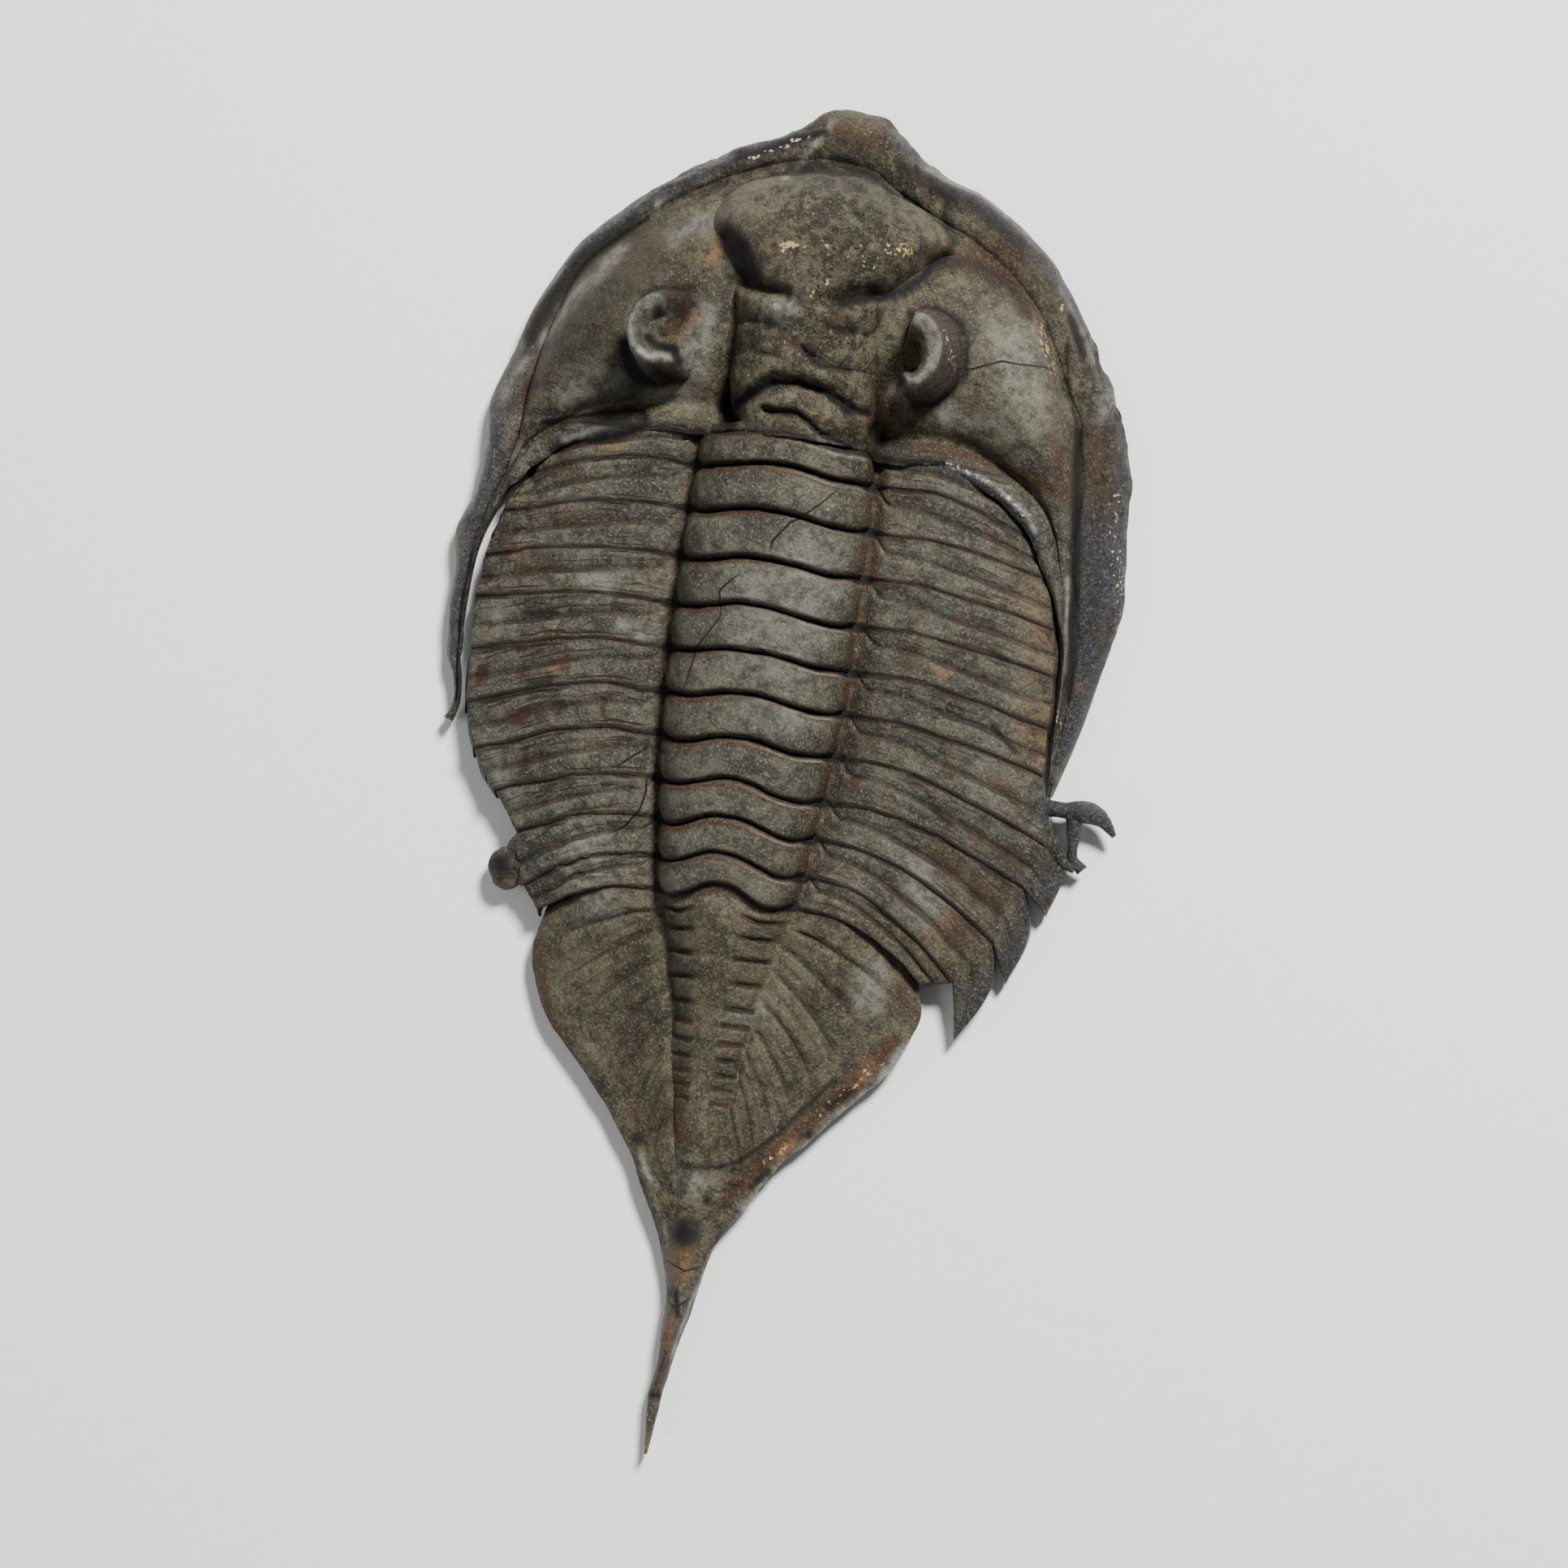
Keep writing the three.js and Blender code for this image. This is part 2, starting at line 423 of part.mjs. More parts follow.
function headSolid() {
  const stations = [];
  for (let s = -(HEAD_LEFT.length - 1); s < HEAD_RIGHT.length; s++) stations.push(s);
  const grid = HEAD_ROWS.map((w) => stations.map((s) => headPoint(s, w)));
  return closedBand(grid, rimBelow, HEAD_INSET);
}

function glabellaPoint(s, q) {
  const [y, left, right, sideZ, topZ] = along(GLABELLA, s);
  const x = mix(left, right, (q + 1) / 2);
  let z = sideZ + (topZ - sideZ) * (1 - Math.abs(q) ** 2.4) ** 0.6;
  for (const furrow of GLABELLA_FURROWS) {
    const [distance, t] = distanceToPath([x, y], furrow.path);
    const fade = mix(1, 0.55, t);
    z -= furrow.depth * fade * bump(distance / furrow.width) * step(0, 0.6, z - sideZ + 0.35);
  }
  return [x, y, z];
}

function glabellaSolid() {
  const stations = [0, 1, 2];
  for (let s = 3; s < GLABELLA.length - 0.5; s += 0.5) stations.push(s);
  const acrossRow = [-1, -0.94, -0.8, -0.6, -0.35, -0.1, 0.15, 0.4, 0.62, 0.8, 0.94, 1];
  const grid = stations.map((s) => acrossRow.map((q) => glabellaPoint(s, q)));
  return closedBand(grid, () => GLABELLA_FOOT_Z, 0);
}

// The eye at angle phi, 0 outwards, and level k: from its foot up the lens wall, over the rim
// and down into the pit behind it.
function eyePoint(eye, k, phi) {
  const [radius, outerZ, innerZ, way] = along(EYE_LEVELS, k);
  const middle = way < 1 ? [0, 1].map((i) => mix(eye.foot[i], eye.rim[i], way))
    : [0, 1].map((i) => mix(eye.rim[i], eye.pit[i], way - 1));
  const outward = 0.5 + 0.5 * Math.cos(phi);
  const z = mix(innerZ, outerZ, step(0, 0.62, outward));
  const width = mix(EYE_WIDTH_INNER, EYE_WIDTH_OUTER, outward);
  return [middle[0] + eye.side * radius * width * Math.cos(phi), middle[1] + radius * Math.sin(phi), z];
}
function eyeSolid(eye) {
  const around = 16;
  const rings = EYE_LEVELS.map((_, k) => {
    const ring = [];
    for (let i = 0; i < around; i++)
      ring.push(eyePoint(eye, k, (2 * Math.PI * i * eye.side) / around));
    return ring;
  });
  return closedRings(rings, [...eye.pit, EYE_PIT_Z], [...eye.foot, EYE_FOOT_Z]);
}

// Tail shield and spine: s counts the rows of TAIL, c the columns as on the thorax.
function tailPoint(s, c) {
  const list = TAIL.map(([y, right, left]) => [y, ...right, ...left]);
  const [y, rx, ry, lx, ly] = along(list, s);
  const q = Math.abs(c);
  const centre = 0.5 * (rx + lx) * step(-31, -40, y);
  const halfWidth = Math.min(heightAt(TAIL_AXIS, y), 0.55 * Math.min(rx - centre, centre - lx));
  const behind = step(-33.6, -36.4, y);
  const furrowZ = heightAt(FURROW, y);
  const crestZ = heightAt(CREST, y);
  const front = step(-21.2, -24.5, y);
  const tuck = TAIL_TUCK * (1 - step(-21.9, -22.7, y));
  const ridgeZ = (x) => {
    const out = clamp(Math.abs(x - centre) / (0.5 * (rx - lx)), 0, 1);
    return MARGIN_Z * 0.9 + (crestZ - MARGIN_Z * 0.9) * (1 - out ** 1.8) ** 0.8;
  };
  if (q <= 1) {
    const curve = (1 - front) * TAIL_CURVE * Math.min(1, (q / 0.6) ** 2);
    const arch = (1 - q ** 2.4) ** 0.65;
    const z = furrowZ + (crestZ - furrowZ) * arch - ringDent(y) * arch - tuck * arch;
    return [centre + c * halfWidth, y - curve, mix(z, ridgeZ(centre + c * halfWidth), behind)];
  }
  const p = q - 1;
  const [mx, my] = c < 0 ? [lx, ly] : [rx, ry];
  const startY = y - TAIL_CURVE * (1 - front);
  const x = mix(centre + Math.sign(c) * halfWidth, mx, p);
  const fieldZ = heightAt(FIELD, y);
  const rim = 0.2 * step(0.8, 0.93, p) * (1 - step(-37, -40, y));
  const bend = clamp((p - 0.38) / 0.62, 0, 1) ** 1.45;
  const slope = mix(bend, p ** 1.7, step(-22, -28, y));
  const z = mix(fieldZ - 0.12, MARGIN_Z * 0.95, slope) - (fieldZ - furrowZ) * bump(p / 0.07)
    - ribDent(y, p) + rim;
  return [x, mix(startY, my, p ** mix(2.0, 1.45, front)), mix(z, ridgeZ(x), behind)];
}
function ringDent(y) {
  let dent = 0;
  for (const line of RING_LINES) dent += bump((y - line) / 0.2) * mix(0.55, 0.2, step(-24, -32, line));
  return dent;
}
function ribDent(y, p) {
  let dent = 0;
  for (const line of RIB_LINES) dent += bump((y - line) / 0.26) * mix(1, 0.45, step(-25, -32, line));
  return 0.3 * dent * (1 - step(0.6, 0.8, p)) * step(0.02, 0.12, p);
}
const TAIL_ROWS = [-21.2, -21.7, -22.15, -22.6, -23.0, -23.4, -23.8, -24.2, -24.6, -25.0, -25.5, -25.9, -26.2,
  -26.6, -27.0, -27.4, -27.85, -28.3, -28.75, -29.2, -29.6, -30.05, -30.5, -31.0, -31.5, -32.4, -33.4,
  -34.4, -35.4, -36.4, -38, -40.2, -42.5, -45, -47.3, -49.9];
function tailSolid() {
  const grid = TAIL_ROWS.map((y) => TAIL_COLUMNS.map((c) => tailPoint(stationAt(TAIL, y), c)));
  return closedSpread(grid);
}

// A tail row runs from margin to margin, so its closing edges are its two ends.
function closedSpread(grid) {
  const turned = grid[0].map((_, c) => grid.map((row) => row[c])).reverse();
  return closedBand(turned, rimBelow, TAIL_INSET);
}

// A tapered, closed stick through [x, y, z, radius] points.
function stickSolid(path, sides = 8) {
  const steps = (path.length - 1) * 3;
  const rings = [];
  for (let k = 0; k <= steps; k++) {
    const s = (k / steps) * (path.length - 1);
    const [x, y, z, radius] = along(path, s);
    const [ax, ay] = along(path, Math.max(s - 0.05, 0));
    const [bx, by] = along(path, Math.min(s + 0.05, path.length - 1));
    const reach = Math.hypot(bx - ax, by - ay);
    const [nx, ny] = [-(by - ay) / reach, (bx - ax) / reach];
    const ring = [];
    for (let i = 0; i < sides; i++) {
      const phi = (2 * Math.PI * i) / sides;
      const out = radius * Math.cos(phi);
      ring.push([x + nx * out, y + ny * out, z + radius * 0.9 * Math.sin(phi)]);
    }
    rings.push(ring);
  }
  const [first, last] = [path[0], path[path.length - 1]];
  return closedRings(rings, last.slice(0, 3), first.slice(0, 3));
}

function stubSolid() {
  const ball = new THREE.SphereGeometry(1, 14, 8);
  ball.scale(...STUB.size);
  ball.translate(...STUB.centre);
  return solidOf(ball);
}

function infillSolid() {
  const curve = INFILL.map(([x, y]) => new THREE.Vector2(x, y));
  const shape = new THREE.Shape(curve);
  const slab = new THREE.ExtrudeGeometry(shape, { depth: INFILL_TOP, bevelEnabled: false });
  return solidOf(slab);
}

function trilobiteSolid() {
  const plates = [infillSolid(), tailSolid()];
  for (let i = SEGMENTS.length - 1; i >= 0; i--) plates.push(segmentSolid(i));
  plates.push(headSolid(), glabellaSolid(), ...EYES.map(eyeSolid));
  plates.push(stickSolid(HOOK), stickSolid(HOOK_BRANCH), stickSolid(HOOK_ROOT), stubSolid());
  return plates.reduce((whole, plate) => whole.add(plate)).simplify(SEAM_TOLERANCE);
}

function meshOf(solid, name, material) {
  const { vertProperties, triVerts, numProp } = solid.getMesh();
  const geometry = new THREE.BufferGeometry();
  const positions = new Float32Array((vertProperties.length / numProp) * 3);
  for (let i = 0; i < positions.length / 3; i++)
    positions.set(vertProperties.subarray(i * numProp, i * numProp + 3), i * 3);
  geometry.setAttribute("position", new THREE.BufferAttribute(positions, 3));
  geometry.setIndex(new THREE.BufferAttribute(triVerts, 1));
  geometry.computeVertexNormals();
  const mesh = new THREE.Mesh(geometry, material);
  mesh.name = name;
  return mesh;
}

const stone = new THREE.MeshStandardMaterial({ color: 0x6b665c, roughness: 0.78, metalness: 0 });
const trilobite = meshOf(trilobiteSolid(), "trilobite", stone);

// The origin is the centre of the object's box, on the plane that it rests on.
trilobite.geometry.computeBoundingBox();
const { min, max } = trilobite.geometry.boundingBox;
trilobite.position.set(-(min.x + max.x) / 2, -(min.y + max.y) / 2, -min.z);

const fossil = new THREE.Group();
fossil.add(trilobite);
export default fossil;
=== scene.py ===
"""Dalmanites trilobite: the fossil's fine surface and stone finish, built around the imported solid.

Shapes are drawn in millimetres, with Y to the head, Z up and X to the animal's right, and are
moved into the row's frame in metres when the mesh is made.
"""
import json
import math

import bmesh
import bpy
import numpy as np
from mathutils import Matrix, Vector, noise

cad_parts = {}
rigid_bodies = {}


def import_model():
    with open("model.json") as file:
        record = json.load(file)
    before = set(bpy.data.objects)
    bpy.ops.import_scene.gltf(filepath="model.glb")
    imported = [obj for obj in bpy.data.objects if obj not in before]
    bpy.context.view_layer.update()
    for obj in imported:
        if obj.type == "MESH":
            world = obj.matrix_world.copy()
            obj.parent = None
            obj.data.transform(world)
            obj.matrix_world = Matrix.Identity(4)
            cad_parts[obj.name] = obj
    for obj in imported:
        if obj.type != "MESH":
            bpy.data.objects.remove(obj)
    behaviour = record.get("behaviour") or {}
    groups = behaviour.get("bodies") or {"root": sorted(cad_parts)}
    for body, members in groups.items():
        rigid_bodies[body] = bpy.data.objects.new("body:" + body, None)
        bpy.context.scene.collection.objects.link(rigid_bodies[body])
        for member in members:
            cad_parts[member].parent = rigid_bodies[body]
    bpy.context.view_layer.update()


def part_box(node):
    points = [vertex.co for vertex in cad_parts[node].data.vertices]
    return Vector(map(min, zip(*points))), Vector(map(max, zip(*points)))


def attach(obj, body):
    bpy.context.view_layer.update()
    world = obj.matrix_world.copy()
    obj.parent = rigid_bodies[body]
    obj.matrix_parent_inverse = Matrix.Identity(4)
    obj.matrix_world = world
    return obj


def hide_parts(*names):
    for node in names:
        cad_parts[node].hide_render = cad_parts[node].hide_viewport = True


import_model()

MM = 0.001
DRAWING_LOW = (-16.6, -49.9, 0.0)
OFFSET = np.array(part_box("trilobite")[0]) / MM - np.array(DRAWING_LOW)

# The line of sight leans from straight up to +X, and the picture is turned about it.
LEAN = math.radians(10)
ROLL = math.radians(8)

# Heights along the body, as [y, z]: on top of the axis, in the furrow beside it, and on the flank
# next to that furrow.
CREST = [[4, 6.6], [-5, 6.5], [-12, 6.3], [-18, 5.9], [-22, 5.25], [-27, 4.0], [-31, 3.1],
         [-34.5, 2.6], [-37, 2.35], [-40, 2.15], [-44, 1.9], [-50, 1.2]]
FURROW = [[4, 3.1], [-5, 3.0], [-12, 2.9], [-18, 2.7], [-22, 2.5], [-27, 2.2], [-31, 2.0],
          [-34.5, 1.95], [-37, 1.85], [-40, 1.7], [-44, 1.5], [-50, 1.0]]
FIELD = [[4, 3.7], [-5, 3.7], [-12, 3.6], [-18, 3.3], [-22, 3.0], [-27, 2.7], [-31, 2.4],
         [-34.5, 2.15], [-37, 1.95], [-40, 1.75], [-44, 1.5], [-50, 1.0]]
MARGIN_Z = 1.1
UNDERSIDE_Z = 0.5
RIM_THICKNESS = 0.45
SEGMENT_INSET = 0.1
HEAD_INSET = 0.3
TAIL_INSET = 0.25
# An inset is at most this share of the way to the other side.
MOST_INSET = 0.3

# Half-width of the axis: on the thorax it tapers with the square of the way from its widest y,
# and on the tail it is set by rows of [y, half-width].
AXIS_WIDEST = 4.65
AXIS_WIDEST_Y = -8
AXIS_TAPER_FRONT = 0.004
AXIS_TAPER_REAR = 0.0066
TAIL_AXIS = [[-22, 3.35], [-24, 2.9], [-26, 2.42], [-28, 2.05], [-31, 1.7], [-33, 1.5],
             [-35, 1.1], [-37, 0.7], [-40, 0.4], [-50, 0.1]]

# Segments: y of the rear edge at the midline, then notch, outermost point and tip on the right
# and on the left.
SEGMENTS = [
    [-0.85, [[12.1, -2.6], [12.2, -1.8], [12.4, -3.0]], [[-12.6, -2.6], [-12.8, -1.9], [-13.1, -3.1]]],
    [-3.1, [[13.3, -4.5], [13.1, -3.8], [13.5, -5.0]], [[-14.0, -4.7], [-13.9, -3.8], [-14.3, -5.2]]],
    [-5.45, [[14.1, -6.9], [13.95, -5.9], [14.2, -7.4]], [[-14.6, -6.9], [-14.6, -5.9], [-14.8, -7.4]]],
    [-7.8, [[14.4, -9.2], [14.4, -8.2], [14.45, -9.7]], [[-14.8, -9.1], [-14.8, -8.2], [-14.9, -9.7]]],
    [-10, [[14.45, -11.8], [14.5, -10.7], [14.5, -12.2]], [[-14.7, -11.7], [-14.85, -10.7], [-14.8, -12.2]]],
    [-12.1, [[14.5, -14.1], [14.5, -13], [14.6, -14.6]], [[-14.5, -14.3], [-14.85, -13.2], [-14.75, -14.9]]],
    [-14.2, [[15.1, -17.4], [15.0, -15.7], [15.6, -18.0]], [[-13.9, -16.6], [-14.4, -15.6], [-14.0, -17.0]]],
    [-16.3, [[14.3, -19.6], [16.05, -18.8], [15.5, -20.8]], [[-12.5, -18.5], [-13.3, -17.9], [-12.6, -18.9]]],
    [-18.1, [[13.2, -22.4], [14.9, -21.8], [14.0, -24.35]], [[-11.1, -20.4], [-11.8, -19.6], [-11.2, -20.6]]],
    [-19.9, [[11.5, -24.7], [13.4, -24.6], [11.9, -27.45]], [[-10.5, -23.0], [-11.6, -21.4], [-11.2, -22.7]]],
    [-21.5, [[9.9, -24.9], [10.9, -24.75], [10.2, -25.1]], [[-9.5, -24.0], [-10.1, -23.4], [-9.6, -24.4]]],
]
NECK = [0.6, [[11.3, 0.0]] * 3, [[-11.8, 0.1]] * 3]
# A segment's columns run from 0 at the midline over 1 at the ring's side furrow to 2 at the tip,
# and its rows from 0 at the front edge to 1 at the rear edge. Where a value is a pair, the first
# belongs to the front segments and the second to the swept ones at the rear.
NOTCH_COLUMN = 1.8
FURROW_ROW = 0.42
TUCK = 0.6
SWEPT_FROM = 4
SWEPT_FULLY = 9.5
RING_WAVE = (0.4, 0.85)
FLANK_BEND_X = (7.6, 4.3)
FLANK_BEND_POWER = (1.2, 1.9)
RING_DIP_FROM = 0.06
RING_DIP_TO = 0.75
RING_FURROW_PLACE = 0.22
# How far from the ring's furrow the flank's lies to the rear, and the columns where it moves there.
FLANK_FURROW_SHIFTS = [(0.31, 1, 1.1), (0.09, 1.1, 1.5)]
RING_FRONT_DROP = 0.45
RING_FURROW_DEPTH = 0.3
RING_SWELL = 0.08
RING_EDGE_DROP = 0.16
FLANK_FURROW_DEPTH = 0.17
FLANK_FRONT_DROP = 0.1
FLANK_EDGE_DROP = 0.08
# Where the flanks bend down, as a share of the way from the axis to the margin, and how sharply.
FULCRUM = 0.38
FULCRUM_POWER = 1.45

# Head shield sections from the snout to each cheek spine's tip, as [outer x, y, inner x, y].
HEAD_RIGHT = [
    [0.75, 17.2, 0.3, 0.9], [2.25, 16.95, 1.2, 0.9], [3.35, 15.95, 2.0, 0.8], [4.5, 15.05, 2.9, 0.5],
    [5.95, 14.4, 3.8, 0.2], [7.5, 13.8, 4.6, 0.0], [9.1, 12.85, 5.6, 0.0], [10.5, 11.8, 6.7, 0.1],
    [11.65, 10.7, 7.8, 0.1], [12.65, 9.3, 8.8, -0.2], [13.55, 7.85, 9.7, -0.65], [14.3, 6.5, 10.5, -1.05],
    [15.1, 5.4, 11.2, -1.5], [15.5, 4.2, 11.8, -2.0], [16.2, 2.8, 12.3, -2.6], [16.7, 1.0, 12.7, -3.3],
    [16.9, -1.0, 13.1, -4.1], [17.05, -3.2, 13.6, -5.0], [17.2, -5.5, 14.1, -6.2],
    [16.95, -7.0, 14.5, -7.5], [16.5, -9.0, 14.7, -9.2], [16.1, -11.0, 14.7, -11.0],
    [15.7, -12.6, 14.7, -12.6], [15.35, -13.8, 14.75, -13.8], [15.0, -15.0, 14.8, -15.0],
]
HEAD_LEFT = [
    [0.75, 17.2, 0.3, 0.9], [-0.5, 17.15, -0.8, 0.9], [-1.6, 16.35, -1.8, 0.8], [-3.0, 15.5, -2.7, 0.5],
    [-5.0, 14.65, -3.6, 0.3], [-6.6, 13.8, -4.6, 0.2], [-8.1, 12.9, -5.5, 0.2], [-9.45, 11.8, -6.5, 0.15],
    [-10.75, 10.75, -7.5, 0.05], [-11.7, 9.75, -8.4, -0.1], [-12.65, 8.5, -9.3, -0.35],
    [-13.45, 7.05, -10.2, -0.7], [-14.15, 5.6, -11.0, -1.1], [-14.55, 4.4, -11.7, -1.5],
    [-15.0, 3.0, -12.3, -2.0], [-15.4, 1.7, -12.9, -2.5], [-15.75, 0.3, -13.45, -3.1],
    [-15.6, -1.5, -14.05, -3.8], [-15.9, -4.0, -14.5, -4.9], [-16.6, -6.0, -14.95, -6.2],
    [-16.35, -7.6, -15.2, -7.7], [-16.3, -10.0, -15.3, -10.0], [-16.2, -12.0, -15.3, -12.0],
    [-15.65, -13.2, -15.2, -13.2], [-15.5, -14.4, -15.15, -14.4], [-15.9, -15.2, -15.3, -15.4],
]
SPINE_FROM = 13
SPINE_FULL = 18
# Rows where its border ends and its neck band begins, between rim (0) and thorax (1).
BORDER_ROW = 0.3
NECK_ROW = 0.85
# Width of its raised border: at the snout, beside it on the left and right, and at the cheeks.
SNOUT_BORDER = 2.7
LEFT_BORDER = 1.4
RIGHT_BORDER = 2.1
CHEEK_BORDER = 2.8
SPINE_CREASE = 0.7
NECK_BORDER = 1.35
NECK_PIT = 1.2
RIM_SWELL = 1.15
NECK_SWELL = 0.42
NECK_FURROW_DEPTH = 0.3
SPINE_SINK = 0.55
# Each pair holds the value in the middle of the head and the one towards the cheeks.
BORDER_GROOVE_DEPTH = (0.22, 0.06)
NECK_Z = (3.75, 2.35)
CHEEK_DOME = (2.5, 0.35)
BORDER_GROOVE_Z = 2.15

# Central lobe of the head: [y, left x, right x, height at the sides, height on top].
GLABELLA = [
    [13.85, 0.2, 2.1, 2.6, 3.4], [13.5, -1.7, 2.9, 2.6, 4.6], [13.0, -3.4, 3.9, 2.6, 5.6],
    [12.3, -4.6, 5.5, 2.7, 6.6], [11.4, -5.2, 6.6, 2.9, 7.3], [10.4, -5.3, 6.9, 3.3, 7.8],
    [9.5, -4.9, 6.2, 3.6, 8.0], [8.4, -4.0, 5.1, 4.2, 8.0], [7.1, -3.5, 4.4, 4.5, 7.9],
    [5.9, -3.2, 4.1, 4.5, 7.7], [4.5, -3.1, 4.1, 4.4, 7.4], [3.2, -3.1, 4.1, 4.2, 7.2],
    [2.2, -3.0, 4.15, 4.0, 7.15], [1.4, -2.8, 4.0, 3.8, 7.1], [0.45, -2.6, 3.7, 3.6, 6.8],
]
GLABELLA_FOOT_Z = 1.0
# Its furrows: path, depth and half-width.
GLABELLA_FURROWS = [
    ([[6.5, 10.2], [5.8, 9.7], [5.2, 8.8], [4.6, 8.2], [2.9, 7.6], [1.9, 7.2]], 1.5, 0.42),
    ([[-4.4, 8.3], [-2.6, 7.6], [-1.2, 7.35], [-0.5, 7.3]], 1.2, 0.36),
    ([[-4.2, 9.9], [-3.3, 9.0], [-2.7, 8.2]], 0.8, 0.55),
    ([[4.2, 5.9], [3.1, 5.8], [1.8, 6.0]], 0.35, 0.2),
    ([[-3.1, 5.9], [-2.2, 5.8], [-0.3, 5.6]], 0.3, 0.2),
    ([[4.2, 4.0], [3.0, 4.1], [1.8, 4.2], [0.9, 4.7]], 0.45, 0.2),
    ([[-3.1, 4.4], [-1.8, 4.4], [-0.2, 4.2]], 0.3, 0.2),
    ([[-2.7, 0.9], [-2.2, 1.9], [-0.6, 3.0], [0.8, 3.15], [2.2, 2.8], [3.3, 2.2], [4.4, 2.1]], 1.1, 0.33),
    ([[-0.8, 1.6], [0.9, 1.6], [2.0, 0.85], [3.6, 0.55]], 0.55, 0.2),
]

# Eyes: the side, then the middle of the foot, of the rim and of the pit.
EYES = [(1, [6.5, 5.25], [6.3, 5.3], [5.95, 5.05]), (-1, [-6.2, 4.7], [-6.3, 4.75], [-6.2, 4.5])]
EYE_WIDTH_OUTER = 0.78
EYE_WIDTH_INNER = 0.64
# Lenses: how often they repeat around and up the eye, and how far they stand out.
LENS_COLUMNS = 17
LENS_WAVES = 11
LENS_ROWS_PER_MM = 4.4
LENS_HEIGHT = 0.07
# Up the lens wall, over the rim and into the pit: radius, outer and inner height, and the way
# from the foot's middle (0) to the rim's (1) and the pit's (2).
EYE_LEVELS = [[2.42, 3.0, 3.0, 0], [2.34, 4.7, 4.4, 0], [2.26, 5.7, 4.9, 0.3],
              [2.08, 7.0, 5.1, 0.65], [1.85, 8.1, 5.2, 1], [1.6, 8.6, 5.25, 1], [1.25, 8.5, 5.25, 1.5]]
EYE_RIM_LEVEL = 5
# The middle of each eye, by its side: a pit in the right one, a sloping lobe in the left one.
EYE_MIDDLE = {1: [[0.95, 7.6, 5.2, 2], [0.75, 6.2, 5.15, 2], [0.4, 5.3, 5.1, 2], [0, 5.0, 5.0, 2]],
              -1: [[0.98, 7.6, 5.4, 2], [0.75, 7.5, 5.7, 2], [0.4, 7.3, 6.3, 2], [0, 6.8, 6.8, 2]]}
EYE_FOOT_Z = 2.5

# Tail shield rows: y on the midline, then where the row meets the right and the left margin.
TAIL = [
    [-21.2, 9.7, -24.5, -9.2, -23.6], [-21.9, 9.95, -25.5, -9.4, -24.6], [-23.0, 10.08, -26.9, -9.6, -26.2],
    [-24.2, 9.0, -29.4, -9.0, -28.5], [-25.5, 7.7, -30.9, -7.6, -30.2],
    [-27.0, 6.4, -32.4, -6.2, -31.7], [-28.3, 5.2, -33.8, -5.0, -33.1],
    [-29.6, 4.1, -35.1, -3.9, -34.6], [-31.0, 3.3, -36.4, -3.1, -35.8],
    [-32.5, 2.7, -37.4, -2.5, -36.9], [-34.2, 2.1, -38.3, -1.9, -38.0],
    [-36.0, 1.6, -39.2, -1.4, -39.1], [-38.0, 1.3, -40.1, -1.05, -40.1],
    [-40.2, 1.02, -41.3, -0.75, -41.3], [-42.5, 0.79, -42.8, -0.55, -42.8],
    [-45.0, 0.25, -45.1, -0.52, -45.1], [-47.3, -0.15, -47.4, -0.78, -47.4],
    [-49.9, -0.45, -49.9, -0.58, -49.9],
]
TAIL_CURVE = 0.7
TAIL_TUCK = 0.4
# Between these y the thorax's slopes give way to the tail's, and the axis to the spine's ridge.
TAIL_FRONT = (-21.2, -24.5)
TAIL_END = (-33.6, -36.4)
TAIL_RIM = 0.2
RING_LINE_WIDTH = 0.13
RIB_LINE_WIDTH = 0.17
RIB_DEPTH = 0.22
LEFT_RIB_SHARE = 0.9
# Depth of the ring furrows, and share of that depth for the ribs', at the front and at the rear.
RING_DEPTH = (0.55, 0.2)
RIB_SHARE = (1, 0.45)
RING_LINES = [-22.6, -23.8, -25.0, -26.2, -27.4, -28.3, -29.2, -30.05, -30.8, -31.5, -32.2]
RIB_LINES = [-23.0, -24.2, -25.5, -27.0, -28.3, -29.6, -31.0, -32.4]

# Broken pieces at the right flank, as [x, y, z, radius], and the worn stub at the left.
HOOKS = [
    [[14.6, -15.5, 1.2, 0.45], [15.7, -15.5, 1.3, 0.4], [16.6, -15.5, 1.4, 0.55],
     [17.6, -15.8, 1.3, 0.4], [18.3, -16.5, 1.1, 0.12]],
    [[16.3, -15.7, 1.3, 0.5], [16.35, -16.9, 1.2, 0.3], [16.4, -17.8, 1.1, 0.25],
     [16.95, -18.35, 1.0, 0.32]],
    [[15.2, -17.0, 1.3, 0.4], [15.8, -17.9, 1.1, 0.3], [16.6, -18.3, 1.0, 0.28]],
]
HOOK_SIDES = 20
HOOK_FLATNESS = 0.9
STUB_CENTRE = (-11.5, -22.3, 1.2)
STUB_SIZE = (0.98, 1.12, 0.8)

# Plan of the flat stone that fills the hollow under the plates.
INFILL = [[0.6, 14.6], [4.2, 13.2], [8.4, 11.4], [11.4, 8.2], [13.6, 3.6], [14.2, -0.6],
          [12.6, -5.0], [12.9, -12.0], [13.2, -17.6], [11.6, -21.6], [8.2, -26.4], [5.0, -31.6],
          [2.2, -35.4], [0.2, -37.4], [-1.8, -35.4], [-4.8, -31.2], [-8.0, -26.4], [-10.2, -20.6],
          [-12.6, -16.4], [-13.2, -12.0], [-12.8, -5.0], [-13.6, -0.6], [-12.8, 3.6], [-10.6, 8.2],
          [-7.4, 11.4], [-3.4, 13.4]]
INFILL_TOP = 1.4
# A path of one point is read as a line of this length.
POINT_LENGTH = 1e-6


def mix(a, b, t):
    return a + (b - a) * t


def bump(v):
    return np.exp(-np.square(v))


